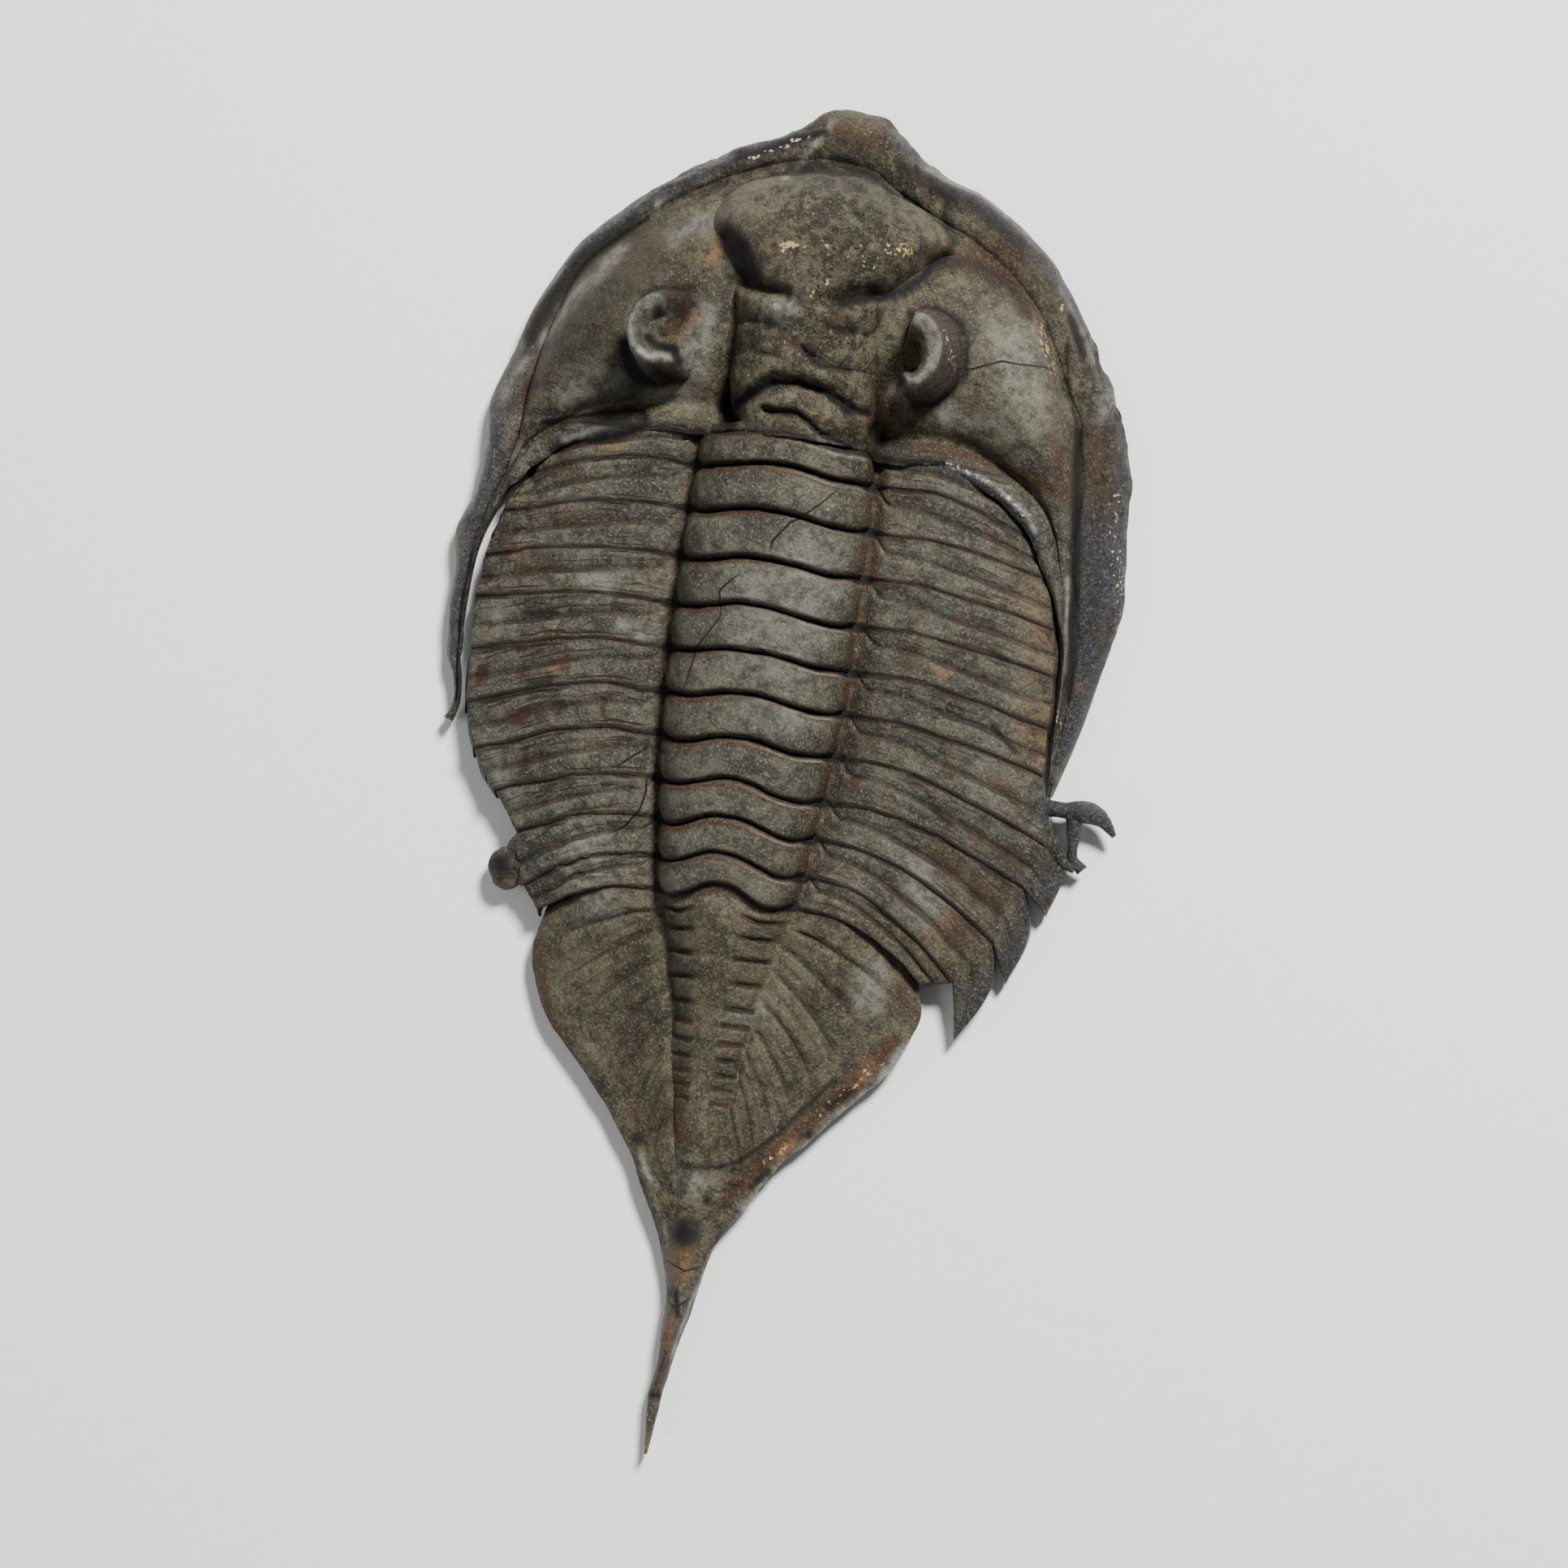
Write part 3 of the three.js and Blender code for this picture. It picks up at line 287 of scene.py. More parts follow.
def step(start, end, v):
    t = np.clip((v - start) / (end - start), 0, 1)
    return t * t * (3 - 2 * t)


def arch_over(q, flat, steep):
    """An arch from 1 at q = 0 to 0 at q = 1. A high flat broadens its top, and a low steep makes
    its sides steeper."""
    return (1 - np.clip(q, 0, 1) ** flat) ** steep


def through(a, b, c, d, t):
    """The way from b to c, at share t, of a smooth curve that also passes a and d."""
    return 0.5 * (2 * b + (c - a) * t + (2 * a - 5 * b + 4 * c - d) * t ** 2
                  + (3 * b - a - 3 * c + d) * t ** 3)


def along(points, s):
    """A smooth curve through given points, read at station s: 0 is the first point."""
    points = np.asarray(points, float)
    s = np.asarray(s, float)
    last = len(points) - 1
    i = np.clip(np.floor(s).astype(int), 0, last - 1)
    near = (points[np.clip(i + k, 0, last)] for k in (-1, 0, 1, 2))
    return through(*near, (s - i)[..., None])


def station_at(rows, y):
    """The station of a list of rows, whose first number y falls along the list."""
    ys = [row[0] for row in rows]
    return np.interp(-np.asarray(y, float), [-v for v in ys], range(len(ys)))


def height_at(rows, y):
    return along(rows, station_at(rows, y))[..., 1]


def path_distance(xy, path, reach):
    """Distance from points to a path, the same with a sign for its two sides, and how far
    along the path, from 0 to 1, the nearest point lies. Points further off get reach."""
    path = np.asarray(path, float)
    near = np.all((xy > path.min(0) - reach) & (xy < path.max(0) + reach), axis=1)
    pick = np.flatnonzero(near)
    at = xy[pick]
    best = np.full(len(pick), float(reach))
    signed = np.full(len(pick), float(reach))
    share = np.zeros(len(pick))
    pairs = [(a, b) for a, b in zip(path[:-1], path[1:]) if (a != b).any()]
    pairs = pairs or [(path[0], path[0] + POINT_LENGTH)]
    for k, (a, b) in enumerate(pairs):
        ab = b - a
        rel = at - a
        t = np.clip(rel @ ab / (ab @ ab), 0, 1)
        off = rel - t[:, None] * ab
        d = np.hypot(off[:, 0], off[:, 1])
        side = np.where(ab[0] * rel[:, 1] - ab[1] * rel[:, 0] < 0, -1.0, 1.0)
        closer = d < best
        best = np.where(closer, d, best)
        signed = np.where(closer, d * side, signed)
        share = np.where(closer, (k + t) / len(pairs), share)
    out = np.full((3, len(xy)), float(reach))
    out[2] = 0
    out[:, pick] = best, signed, share
    return out


def axis_half_width(y):
    away = y - AXIS_WIDEST_Y
    return AXIS_WIDEST - np.where(away > 0, AXIS_TAPER_FRONT, AXIS_TAPER_REAR) * away * away



def side_points(segment, c):
    """Notch, outermost point and tip of a segment, for each column c, on that column's side."""
    _, right, left = segment
    left_side = (np.asarray(c) < 0)[..., None]
    return [np.where(left_side, left[k], right[k]) for k in range(3)]


def rear_edge(i, c):
    """The rear edge of segment i (-1 is the neck) at columns c, on the plan."""
    segment = NECK if i < 0 else SEGMENTS[i]
    mid = segment[0]
    half = axis_half_width(mid)
    sweep = step(SWEPT_FROM, SWEPT_FULLY, i)
    wave = mix(*RING_WAVE, sweep)
    q = np.abs(c)
    sign = np.where(c < 0, -1.0, 1.0)
    dip = step(RING_DIP_FROM, RING_DIP_TO, q) - 0.2 * step(RING_DIP_TO, 1, q)
    notch, _, tip = side_points(segment, c)
    reach = np.abs(notch[..., 0])
    x_out = mix(half, reach, np.clip((q - 1) / (NOTCH_COLUMN - 1), 0, 1))
    bend_from = mix(*FLANK_BEND_X, sweep)
    bend = np.clip((x_out - bend_from) / (reach - bend_from), 0, 1) ** mix(*FLANK_BEND_POWER, sweep)
    y_out = mix(mid - wave * 0.8, notch[..., 1], bend)
    x = np.where(q <= 1, q * half, x_out) * sign
    y = np.where(q <= 1, mid - wave * dip, y_out)
    t = np.clip((q - NOTCH_COLUMN) / (2 - NOTCH_COLUMN), 0, 1)
    past = q > NOTCH_COLUMN
    x = np.where(past, mix(notch[..., 0], tip[..., 0], t), x)
    y = np.where(past, mix(notch[..., 1], tip[..., 1], t), y)
    return x, y


def front_edge(i, c):
    """The front edge of segment i: tucked under the one before, then its own outer edge."""
    q = np.abs(c)
    x, y = rear_edge(i - 1, c)
    y = y + TUCK * (1 - 0.8 * step(1.5, NOTCH_COLUMN, q))
    notch = side_points(NECK if i == 0 else SEGMENTS[i - 1], c)[0]
    _, outer, tip = side_points(SEGMENTS[i], c)
    t = np.clip(2 * (q - NOTCH_COLUMN) / (2 - NOTCH_COLUMN), 0, 2)[..., None]
    first = t < 1
    start, end = np.where(first, notch, outer), np.where(first, outer, tip)
    curve = through(notch, start, end, tip, np.where(first, t, t - 1))
    past = q > NOTCH_COLUMN
    return np.where(past, curve[..., 0], x), np.where(past, curve[..., 1], y)


def furrow_at(c):
    """Where a segment's furrow lies between its front and rear edge: further back on the flanks."""
    at = RING_FURROW_PLACE
    for shift, start, end in FLANK_FURROW_SHIFTS:
        at = at + shift * step(start, end, np.abs(c))
    return at


def ring_relief(w):
    """Height of a ring over its arch: the lower front part, the furrow, the band and its edge."""
    band = step(FURROW_ROW - 0.02, FURROW_ROW + 0.07, w)
    furrow = RING_FURROW_DEPTH * bump((w - FURROW_ROW) / 0.05)
    swell = RING_SWELL * np.sin(np.pi * np.clip((w - 0.5) / 0.5, 0, 1))
    return -RING_FRONT_DROP + RING_FRONT_DROP * band - furrow + swell - RING_EDGE_DROP * step(0.94, 1, w)


def flank_relief(w, p):
    """Height of a flank over its slope, at share p of the way from the axis to the margin."""
    furrow = FLANK_FURROW_DEPTH * bump((w - FURROW_ROW) / 0.06) * (1 - step(0.78, 0.95, p))
    band = FLANK_FRONT_DROP * step(FURROW_ROW, FURROW_ROW + 0.16, w)
    front = -FLANK_FRONT_DROP + 0.06 * step(0, 0.2, w)
    return front - furrow + band - FLANK_EDGE_DROP * step(0.93, 1, w)


def fulcrum_bend(p):
    return np.clip((p - FULCRUM) / (1 - FULCRUM), 0, 1) ** FULCRUM_POWER


def segment_point(i, c, w):
    """The upper surface of segment i at columns c and rows w."""
    v = np.where(w < FURROW_ROW, (w / FURROW_ROW) * furrow_at(c),
                 mix(furrow_at(c), 1, (w - FURROW_ROW) / (1 - FURROW_ROW)))
    fx, fy = front_edge(i, c)
    rx, ry = rear_edge(i, c)
    body_y = mix((NECK if i == 0 else SEGMENTS[i - 1])[0], SEGMENTS[i][0], v)
    furrow_z = height_at(FURROW, body_y)
    crest_z = height_at(CREST, body_y)
    field_z = height_at(FIELD, body_y)
    q = np.abs(c)
    across = np.abs(2 * np.clip((w - FURROW_ROW) / (1 - FURROW_ROW), 0, 1) - 1)
    corner = 1 - 0.07 * across ** 3
    arch = arch_over(q / corner, 2.6, 0.6)
    ring_z = furrow_z + (crest_z - furrow_z) * arch + ring_relief(w) * np.minimum(1, arch * 1.6)
    p = np.clip(q - 1, 0, 1)
    level = mix(field_z, MARGIN_Z, fulcrum_bend(p)) - (field_z - furrow_z) * bump(p / 0.055)
    flank_z = level + flank_relief(w, p) * step(0, 0.08, p)
    z = np.where(q <= 1, ring_z, flank_z)
    return np.stack([mix(fx, rx, v), mix(fy, ry, v), z], -1)


def head_point(s, w):
    """Head shield: s counts sections from the snout, right positive, w runs rim to neck."""
    m = np.abs(s)
    left, right = along(HEAD_LEFT, m), along(HEAD_RIGHT, m)
    ox, oy, ix, iy = np.moveaxis(np.where((s < 0)[..., None], left, right), -1, 0)
    count = np.where(s < 0, len(HEAD_LEFT), len(HEAD_RIGHT))
    length = np.hypot(ix - ox, iy - oy)
    spine = step(SPINE_FROM, SPINE_FULL, m)
    side_border = np.where(s < 0, LEFT_BORDER, RIGHT_BORDER)
    rim_width = mix(mix(SNOUT_BORDER, side_border, step(0.5, 3.5, m)), CHEEK_BORDER, step(9, 15, m))
    furrow_share = mix(rim_width / length, SPINE_CREASE, spine)
    neck_share = mix(1 - NECK_BORDER / length, 0.86, spine)
    cheek = (w - BORDER_ROW) / (NECK_ROW - BORDER_ROW)
    inner = np.where(w < NECK_ROW, mix(furrow_share, neck_share, cheek),
                     mix(neck_share, 1, (w - NECK_ROW) / (1 - NECK_ROW)))
    f = np.where(w < BORDER_ROW, w / BORDER_ROW * furrow_share, inner)
    lean = 1 - SPINE_SINK * step(15, count - 1, m)
    neck_z = mix(*NECK_Z, step(5, 16, m))
    dome = mix(*CHEEK_DOME, step(8, 16, m)) * (1 - spine)
    t = np.clip(cheek, 0, 1)
    rim_z = MARGIN_Z + RIM_SWELL * np.sin(np.pi * 0.5 * np.minimum(1, w / 0.17)) ** 0.7
    cheek_z = mix(BORDER_GROOVE_Z, neck_z, t) + dome * np.sin(np.pi * t ** 0.9)
    band_z = neck_z + NECK_SWELL * np.sin(np.pi * np.clip((w - NECK_ROW) / 0.17, 0, 1))
    z = np.where(w < BORDER_ROW, rim_z, np.where(w < NECK_ROW, cheek_z, band_z))
    groove = mix(*BORDER_GROOVE_DEPTH, step(3, 7, m))
    z = z - groove * bump((w - 0.31) / 0.05)
    z = z - NECK_FURROW_DEPTH * bump((w - NECK_ROW) / 0.035) * (1 - spine)
    z = z - NECK_PIT * (1 - step(2.5, 4.5, m)) * step(0.6, NECK_ROW, w)
    return np.stack([mix(ox, ix, f), mix(oy, iy, f), UNDERSIDE_Z + (z - UNDERSIDE_Z) * lean], -1)


def glabella_point(s, q):
    """The central lobe at station s, from its left side at q = -1 to its right side at 1."""
    y, left, right, side_z, top_z = np.moveaxis(along(GLABELLA, s), -1, 0)
    x = mix(left, right, (q + 1) / 2)
    z = side_z + (top_z - side_z) * arch_over(np.abs(q), 2.4, 0.6)
    xy = np.stack([x, y + 0 * x], -1).reshape(-1, 2)
    for path, depth, width in GLABELLA_FURROWS:
        distance, _, share = path_distance(xy, path, 3).reshape(3, *x.shape)
        fade = mix(1, 0.55, share)
        z = z - depth * fade * bump(distance / width) * step(0, 0.6, z - side_z + 0.35)
    return np.stack([x, y + 0 * x, z], -1)


def eye_point(eye, k, phi):
    """An eye at angle phi, 0 outwards, and level k from its foot over the rim to the pit."""
    side, foot, rim, pit = eye
    radius, outer_z, inner_z, way = np.moveaxis(along(EYE_LEVELS + EYE_MIDDLE[side], k), -1, 0)
    up, down = np.minimum(way, 1), np.maximum(way - 1, 0)
    middle = [foot[i] + (rim[i] - foot[i]) * up + (pit[i] - rim[i]) * down for i in (0, 1)]
    facing = 0.5 + 0.5 * np.cos(phi)
    outward = step(0, 0.5, facing)
    z = mix(inner_z, outer_z, outward)
    rows = np.clip(np.sin(k * LENS_WAVES + np.pi * np.round(phi * LENS_WAVES)), 0, 1)
    lens = rows * np.abs(np.cos(phi * LENS_COLUMNS))
    wall = step(0.5, 0.9, k) * (1 - step(3.2, 3.6, k)) * outward
    reach = radius + LENS_HEIGHT * lens * wall
    width = mix(EYE_WIDTH_INNER, EYE_WIDTH_OUTER, facing)
    x = middle[0] + side * reach * width * np.cos(phi)
    return np.stack([x, middle[1] + reach * np.sin(phi), z], -1)


def tail_point(y_row, c):
    """Tail shield and spine at rows y and columns c, as on the thorax."""
    y, rx, ry, lx, ly = np.moveaxis(along(TAIL, station_at(TAIL, y_row)), -1, 0)
    q = np.abs(c)
    centre = 0.5 * (rx + lx) * step(-31, -40, y)
    half = np.minimum(height_at(TAIL_AXIS, y), 0.55 * np.minimum(rx - centre, centre - lx))
    behind = step(*TAIL_END, y)
    furrow_z, crest_z, field_z = (height_at(rows, y) for rows in (FURROW, CREST, FIELD))
    front = step(*TAIL_FRONT, y)

    def ridge_z(x):
        arch = arch_over(np.abs(x - centre) / (0.5 * (rx - lx)), 1.8, 0.8)
        return MARGIN_Z * 0.9 + (crest_z - MARGIN_Z * 0.9) * arch

    curve = (1 - front) * TAIL_CURVE * np.minimum(1, (q / 0.6) ** 2)
    arch = arch_over(q, 2.2, 0.85)
    axis_x = centre + np.clip(c, -1, 1) * half
    tuck = TAIL_TUCK * (1 - step(-21.9, -22.7, y))
    axis_z = furrow_z + (crest_z - furrow_z - ring_dent(y, q) - tuck) * arch
    p = np.clip(q - 1, 0, 1)
    mx, my = np.where(c < 0, lx, rx), np.where(c < 0, ly, ry)
    x = mix(axis_x, mx, p)
    rim = TAIL_RIM * step(0.8, 0.93, p) * (1 - step(-37, -40, y))
    slope = mix(fulcrum_bend(p), p ** 1.7, step(-22, -28, y))
    flank_z = (mix(field_z - 0.12, MARGIN_Z * 0.95, slope) - 0.6 * (field_z - furrow_z) * bump(p / 0.09)
               - rib_dent(y, p) * np.where(c < 0, LEFT_RIB_SHARE, 1.0) + rim)
    z = mix(np.where(q <= 1, axis_z, flank_z), ridge_z(x), behind)
    y_out = mix(y - TAIL_CURVE * (1 - front), my, p ** mix(2.0, 1.45, front))
    return np.stack([x, np.where(q <= 1, y - curve, y_out), z], -1)


def ring_dent(y, q):
    """Depth of the furrows between the tail's rings, which fade out towards the midline."""
    dent = 0
    for line in RING_LINES:
        depth = mix(*RING_DEPTH, step(-24, -32, line))
        dent = dent + bump((y - line) / RING_LINE_WIDTH) * depth * mix(0.1, 1.1, step(0.25, 0.8, q))
    return dent


def rib_dent(y, p):
    """Depth of the furrows between the tail's ribs, which end before the margin."""
    dent = 0
    for line in RIB_LINES:
        dent = dent + bump((y - line) / RIB_LINE_WIDTH) * mix(*RIB_SHARE, step(-25, -32, line))
    return RIB_DEPTH * dent * (1 - step(0.6, 0.8, p)) * step(0.02, 0.12, p)


def closed_band(grid, lower_z, inset):
    """Points and faces of a closed solid under a grid of points. Its lower points lie under the
    first and the last row, set in by inset, at the heights that lower_z gives."""
    rows, cols = grid.shape[:2]

    def lower(row, other):
        reach = np.hypot(*(other - row)[:, :2].T)
        shift = (np.minimum(inset, reach * MOST_INSET) / np.maximum(reach, 1e-9))[:, None]
        plan = mix(row[:, :2], other[:, :2], shift)
        return np.column_stack([plan, lower_z(row[:, 2])])

    points = np.concatenate([grid.reshape(-1, 3), lower(grid[0], grid[-1]), lower(grid[-1], grid[0])])
    front = rows * cols
    rear = front + cols
    last = (rows - 1) * cols
    a = (np.arange(rows - 1)[:, None] * cols + np.arange(cols - 1)).ravel()
    faces = [tuple(f) for f in np.column_stack([a, a + cols, a + cols + 1, a + 1]).tolist()]
    for c in range(cols - 1):
        faces.append((front + c, c, c + 1, front + c + 1))
        faces.append((last + c, rear + c, rear + c + 1, last + c + 1))
        faces.append((rear + c, front + c, front + c + 1, rear + c + 1))
    left = [front, rear] + [r * cols for r in range(rows - 1, -1, -1)]
    right = [front + cols - 1] + [(r + 1) * cols - 1 for r in range(rows)] + [rear + cols - 1]
    faces.append(tuple(left))
    faces.append(tuple(right))
    return points, faces


def closed_rings(rings, top, bottom):
    """Points and faces of nested rings around two end points."""
    count, n = rings.shape[:2]
    points = np.concatenate([rings.reshape(-1, 3), [top, bottom]])
    top_at = count * n
    faces = []
    for k in range(count - 1):
        for i in range(n):
            j = (i + 1) % n
            faces.append((k * n + i, k * n + j, (k + 1) * n + j, (k + 1) * n + i))
    inner = (count - 1) * n
    for i in range(n):
        j = (i + 1) % n
        faces.append((inner + i, inner + j, top_at))
        faces.append((j, i, top_at + 1))
    return points, faces


def spread(*pieces):
    """Sample positions, from (start, end, count) pieces that follow each other."""
    return np.concatenate([np.linspace(a, b, n, endpoint=False) for a, b, n in pieces]
                          + [[pieces[-1][1]]])


def both_sides(half):
    return np.concatenate([-half[:0:-1], half])


def crossed(rows, columns):
    return np.meshgrid(rows, columns, indexing="ij")


def rim_below(z):
    return np.minimum(UNDERSIDE_Z, z - RIM_THICKNESS)


def segment_part(i):
    """Segment i, with its samples closest where the ring meets the flank and at its furrow."""
    columns = both_sides(spread((0, 0.85, 22), (0.85, 1.06, 10), (1.06, NOTCH_COLUMN, 46),
                                (NOTCH_COLUMN, 2, 10)))
    rows = spread((0, 0.34, 4), (0.34, 0.56, 9), (0.56, 0.92, 5), (0.92, 1, 4))
    grid = segment_point(i, columns[None, :], rows[:, None])
    return closed_band(grid, rim_below, SEGMENT_INSET)


def head_part():
    stations = np.linspace(1 - len(HEAD_LEFT), len(HEAD_RIGHT) - 1, 270)
    rows = spread((0, 0.3, 16), (0.3, 0.8, 26), (0.8, 0.9, 9), (0.9, 1, 7))
    w, s = crossed(rows, stations)
    return closed_band(head_point(s, w), rim_below, HEAD_INSET)


def glabella_part():
    stations = np.linspace(0, len(GLABELLA) - 1, 92)
    across = np.sin(np.linspace(-np.pi / 2, np.pi / 2, 72))
    grid = glabella_point(*crossed(stations, across))
    return closed_band(grid, lambda z: 0 * z + GLABELLA_FOOT_Z, 0)


def eye_part(eye):
    side, foot, _, pit = eye
    around = np.linspace(0, 2 * np.pi, 92, endpoint=False) * side
    levels = spread((0, 3.6, 34), (3.6, len(EYE_LEVELS) + 2.6, 22))
    pit_z = EYE_MIDDLE[side][-1][1]
    return closed_rings(eye_point(eye, *crossed(levels, around)), [*pit, pit_z], [*foot, EYE_FOOT_Z])


def tail_part():
    """The tail shield as a band across, closed below between its left and right margins."""
    columns = both_sides(spread((0, 0.85, 14), (0.85, 1.1, 6), (1.1, 1.8, 30), (1.8, 2, 8)))
    rows = -spread((21.2, 33, 92), (33, 38, 26), (38, 49.9, 40))
    turned = np.swapaxes(tail_point(*crossed(rows, columns)), 0, 1)[::-1]
    return closed_band(turned, rim_below, TAIL_INSET)


def stick_part(path):
    """A round stick through the points of a path, a little lower than it is wide."""
    last = len(path) - 1
    s = np.linspace(0, last, last * 8 + 1)
    x, y, z, radius = along(path, s).T[..., None]
    ahead = along(path, np.minimum(s + 0.05, last)) - along(path, np.maximum(s - 0.05, 0))
    nx, ny = -ahead[:, 1:2], ahead[:, :1]
    reach = np.hypot(nx, ny)
    phi = np.linspace(0, 2 * np.pi, HOOK_SIDES, endpoint=False)
    out = radius * np.cos(phi)
    rings = np.stack([x + nx / reach * out, y + ny / reach * out,
                      z + radius * HOOK_FLATNESS * np.sin(phi)], -1)
    return closed_rings(rings, path[-1][:3], path[0][:3])


def stub_part():
    """The worn stub, an ellipsoid."""
    theta = np.linspace(0, np.pi, 20)[1:-1]
    phi = np.linspace(0, 2 * np.pi, 36, endpoint=False)
    rings = np.stack([np.outer(np.sin(theta), np.cos(phi)), np.outer(np.sin(theta), np.sin(phi)),
                      np.outer(-np.cos(theta), np.ones_like(phi))], -1)
    unit = (rings, np.array([0, 0, 1]), np.array([0, 0, -1]))
    return closed_rings(*(points * STUB_SIZE + STUB_CENTRE for points in unit))


def infill_part():
    n = len(INFILL)
    plan = np.array(INFILL)
    points = np.concatenate([np.column_stack([plan, np.full(n, z)]) for z in (0.0, INFILL_TOP)])
    faces = [tuple(range(n)), tuple(range(2 * n - 1, n - 1, -1))]
    for i in range(n):
        j = (i + 1) % n
        faces.append((j, i, n + i, n + j))
    return points, faces


def mesh_object(name, points, faces):
    """A mesh object from drawing points in millimetres."""
    mesh = bpy.data.meshes.new(name)
    mesh.from_pydata(((points + OFFSET) * MM).tolist(), [], faces)
    obj = bpy.data.objects.new(name, mesh)
    bpy.context.scene.collection.objects.link(obj)
    bm = bmesh.new()
    bm.from_mesh(mesh)
    bmesh.ops.recalc_face_normals(bm, faces=bm.faces)
    bm.to_mesh(mesh)
    bm.free()
    return obj


def joined(name, parts):
    """All parts united in one closed mesh."""
    whole = mesh_object(name, *parts[0])
    others = bpy.data.collections.new("parts")
    for k, part in enumerate(parts[1:]):
        obj = mesh_object(f"part_{k}", *part)
        bpy.context.scene.collection.objects.unlink(obj)
        others.objects.link(obj)
    cut = whole.modifiers.new("union", "BOOLEAN")
    cut.operation = "UNION"
    cut.operand_type = "COLLECTION"
    cut.collection = others
    cut.solver = "MANIFOLD"
    graph = bpy.context.evaluated_depsgraph_get()
    mesh = bpy.data.meshes.new_from_object(whole.evaluated_get(graph))
    whole.modifiers.clear()
    whole.data = mesh
    mesh.name = name
    for obj in list(others.objects):
        bpy.data.objects.remove(obj)
    bpy.data.collections.remove(others)
    return whole


parts = [infill_part(), tail_part()]
parts += [segment_part(i) for i in range(len(SEGMENTS) - 1, -1, -1)]
parts += [head_part(), glabella_part()]
parts += [eye_part(eye) for eye in EYES]
parts += [stick_part(path) for path in HOOKS]
parts.append(stub_part())
fossil = joined("fossil", parts)

# Some of these marks are painted light and shade: the shade patches, the shadows among the dark marks, the
# sheen of the glossy patches, and the highlights among the pale marks and flecks.
# Marks of the stone, in seen coordinates: millimetres across and along the body as the photograph
# shows them. Each stroke is a path, its half-width and its strength.
RUST = [
    ([[6.1, 0.9], [8.2, 0.8], [9.8, 0.6], [10.9, 0.2], [12.2, -0.1], [12.8, -0.4]], 0.32, 0.95),
    ([[-9, 1.3], [-7.5, 1.6], [-5, 1.9]], 0.25, 0.8), ([[5.6, 10.2], [6.4, 10.4], [9, 9.8]], 0.6, 0.95),
    ([[9, 9.8], [10.4, 8.4]], 0.5, 0.8), ([[12, 2.8], [12.6, 1], [13.3, -0.6]], 0.4, 0.9),
    ([[11, 7], [11.8, 5], [12, 3]], 0.3, 0.4), ([[-0.3, 16.2], [1.4, 15.8]], 0.7, 0.7),
    ([[-12.2, 6.6], [-9.5, 8.6], [-6.9, 9.8]], 0.7, 0.6), ([[7, 11.3], [9, 11]], 0.5, 0.6),
    ([[-13.1, 2.4], [-13.7, 1.6], [-14.3, 0.6]], 0.55, 0.9),
    ([[14.4, 2.4], [14.8, 0.4], [14.9, -2]], 0.8, 0.5), ([[4.6, 5.1]], 0.5, 0.9),
    ([[-7.2, 5.9], [-6.6, 6.1]], 0.4, 0.6), ([[3.4, 3.4], [3.7, 1.4]], 0.5, 0.8),
    ([[4.3, -0.9], [4.1, -7.7], [3.8, -12.5]], 0.3, 0.75), ([[9.4, -18.8]], 0.9, 0.8),
    ([[11, -22]], 1.0, 0.8), ([[12.5, -20]], 0.9, 0.7), ([[15.1, -0.5]], 0.8, 0.6),
    ([[11.8, -14.6], [12.9, -15.6]], 0.5, 0.6), ([[9.2, -17.6], [10.6, -18.6]], 0.3, 0.6),
    ([[8.4, -28.2], [7.1, -30.1], [5.3, -32.1], [3.4, -34.5], [1.7, -36.6]], 0.5, 1.0),
    ([[-9.5, -25.4], [-8.6, -29.1], [-6.5, -31.8]], 0.35, 0.8),
    ([[-3.6, -33.3], [-3.2, -34.4]], 0.4, 0.7),
    ([[-1.6, -30.3], [-1.5, -31.7], [-1.3, -33], [-1, -34.1]], 0.35, 0.85),
    ([[8.6, -25.2], [9.1, -26.4]], 0.5, 0.7), ([[-0.1, -39.5], [-0.1, -40.3]], 0.5, 0.7),
    ([[-0.3, -43.4], [-0.4, -45.2], [-0.6, -46.6]], 0.35, 0.7),
    ([[-12.6, -4.2], [-10.5, -4.6]], 0.5, 0.6), ([[-12.8, -7.6], [-11.2, -7.2]], 0.4, 0.6),
    ([[-12.4, -2.6], [-10.9, -2.2]], 0.5, 0.7), ([[-11.8, -11.2], [-10.4, -11]], 0.4, 0.5),
]
# Painted shade: patches where the stone's colour is darkened, as on the left cheek, the lobe and the right
# spine.
SHADE = [
    ([[-9.5, 8.6], [-12, 4.4]], 2.5, 1.0), ([[0.4, 13.4], [1.6, 11]], 4.0, 0.65),
    ([[-11.6, -22.3]], 1.0, 0.8), ([[14.4, 3], [15.4, -2], [15.4, -9]], 1.9, 0.9),
    ([[3.4, 15.4], [8.8, 12.6], [12.4, 9]], 1.2, 0.9), ([[12.4, 9], [14.2, 5.2]], 1.0, 0.8),
    ([[-3, 15.2], [-8.4, 12], [-12, 8], [-14.4, 3]], 1.0, 0.8), ([[-7.4, -27], [-5, -31]], 2.4, 0.1),
]
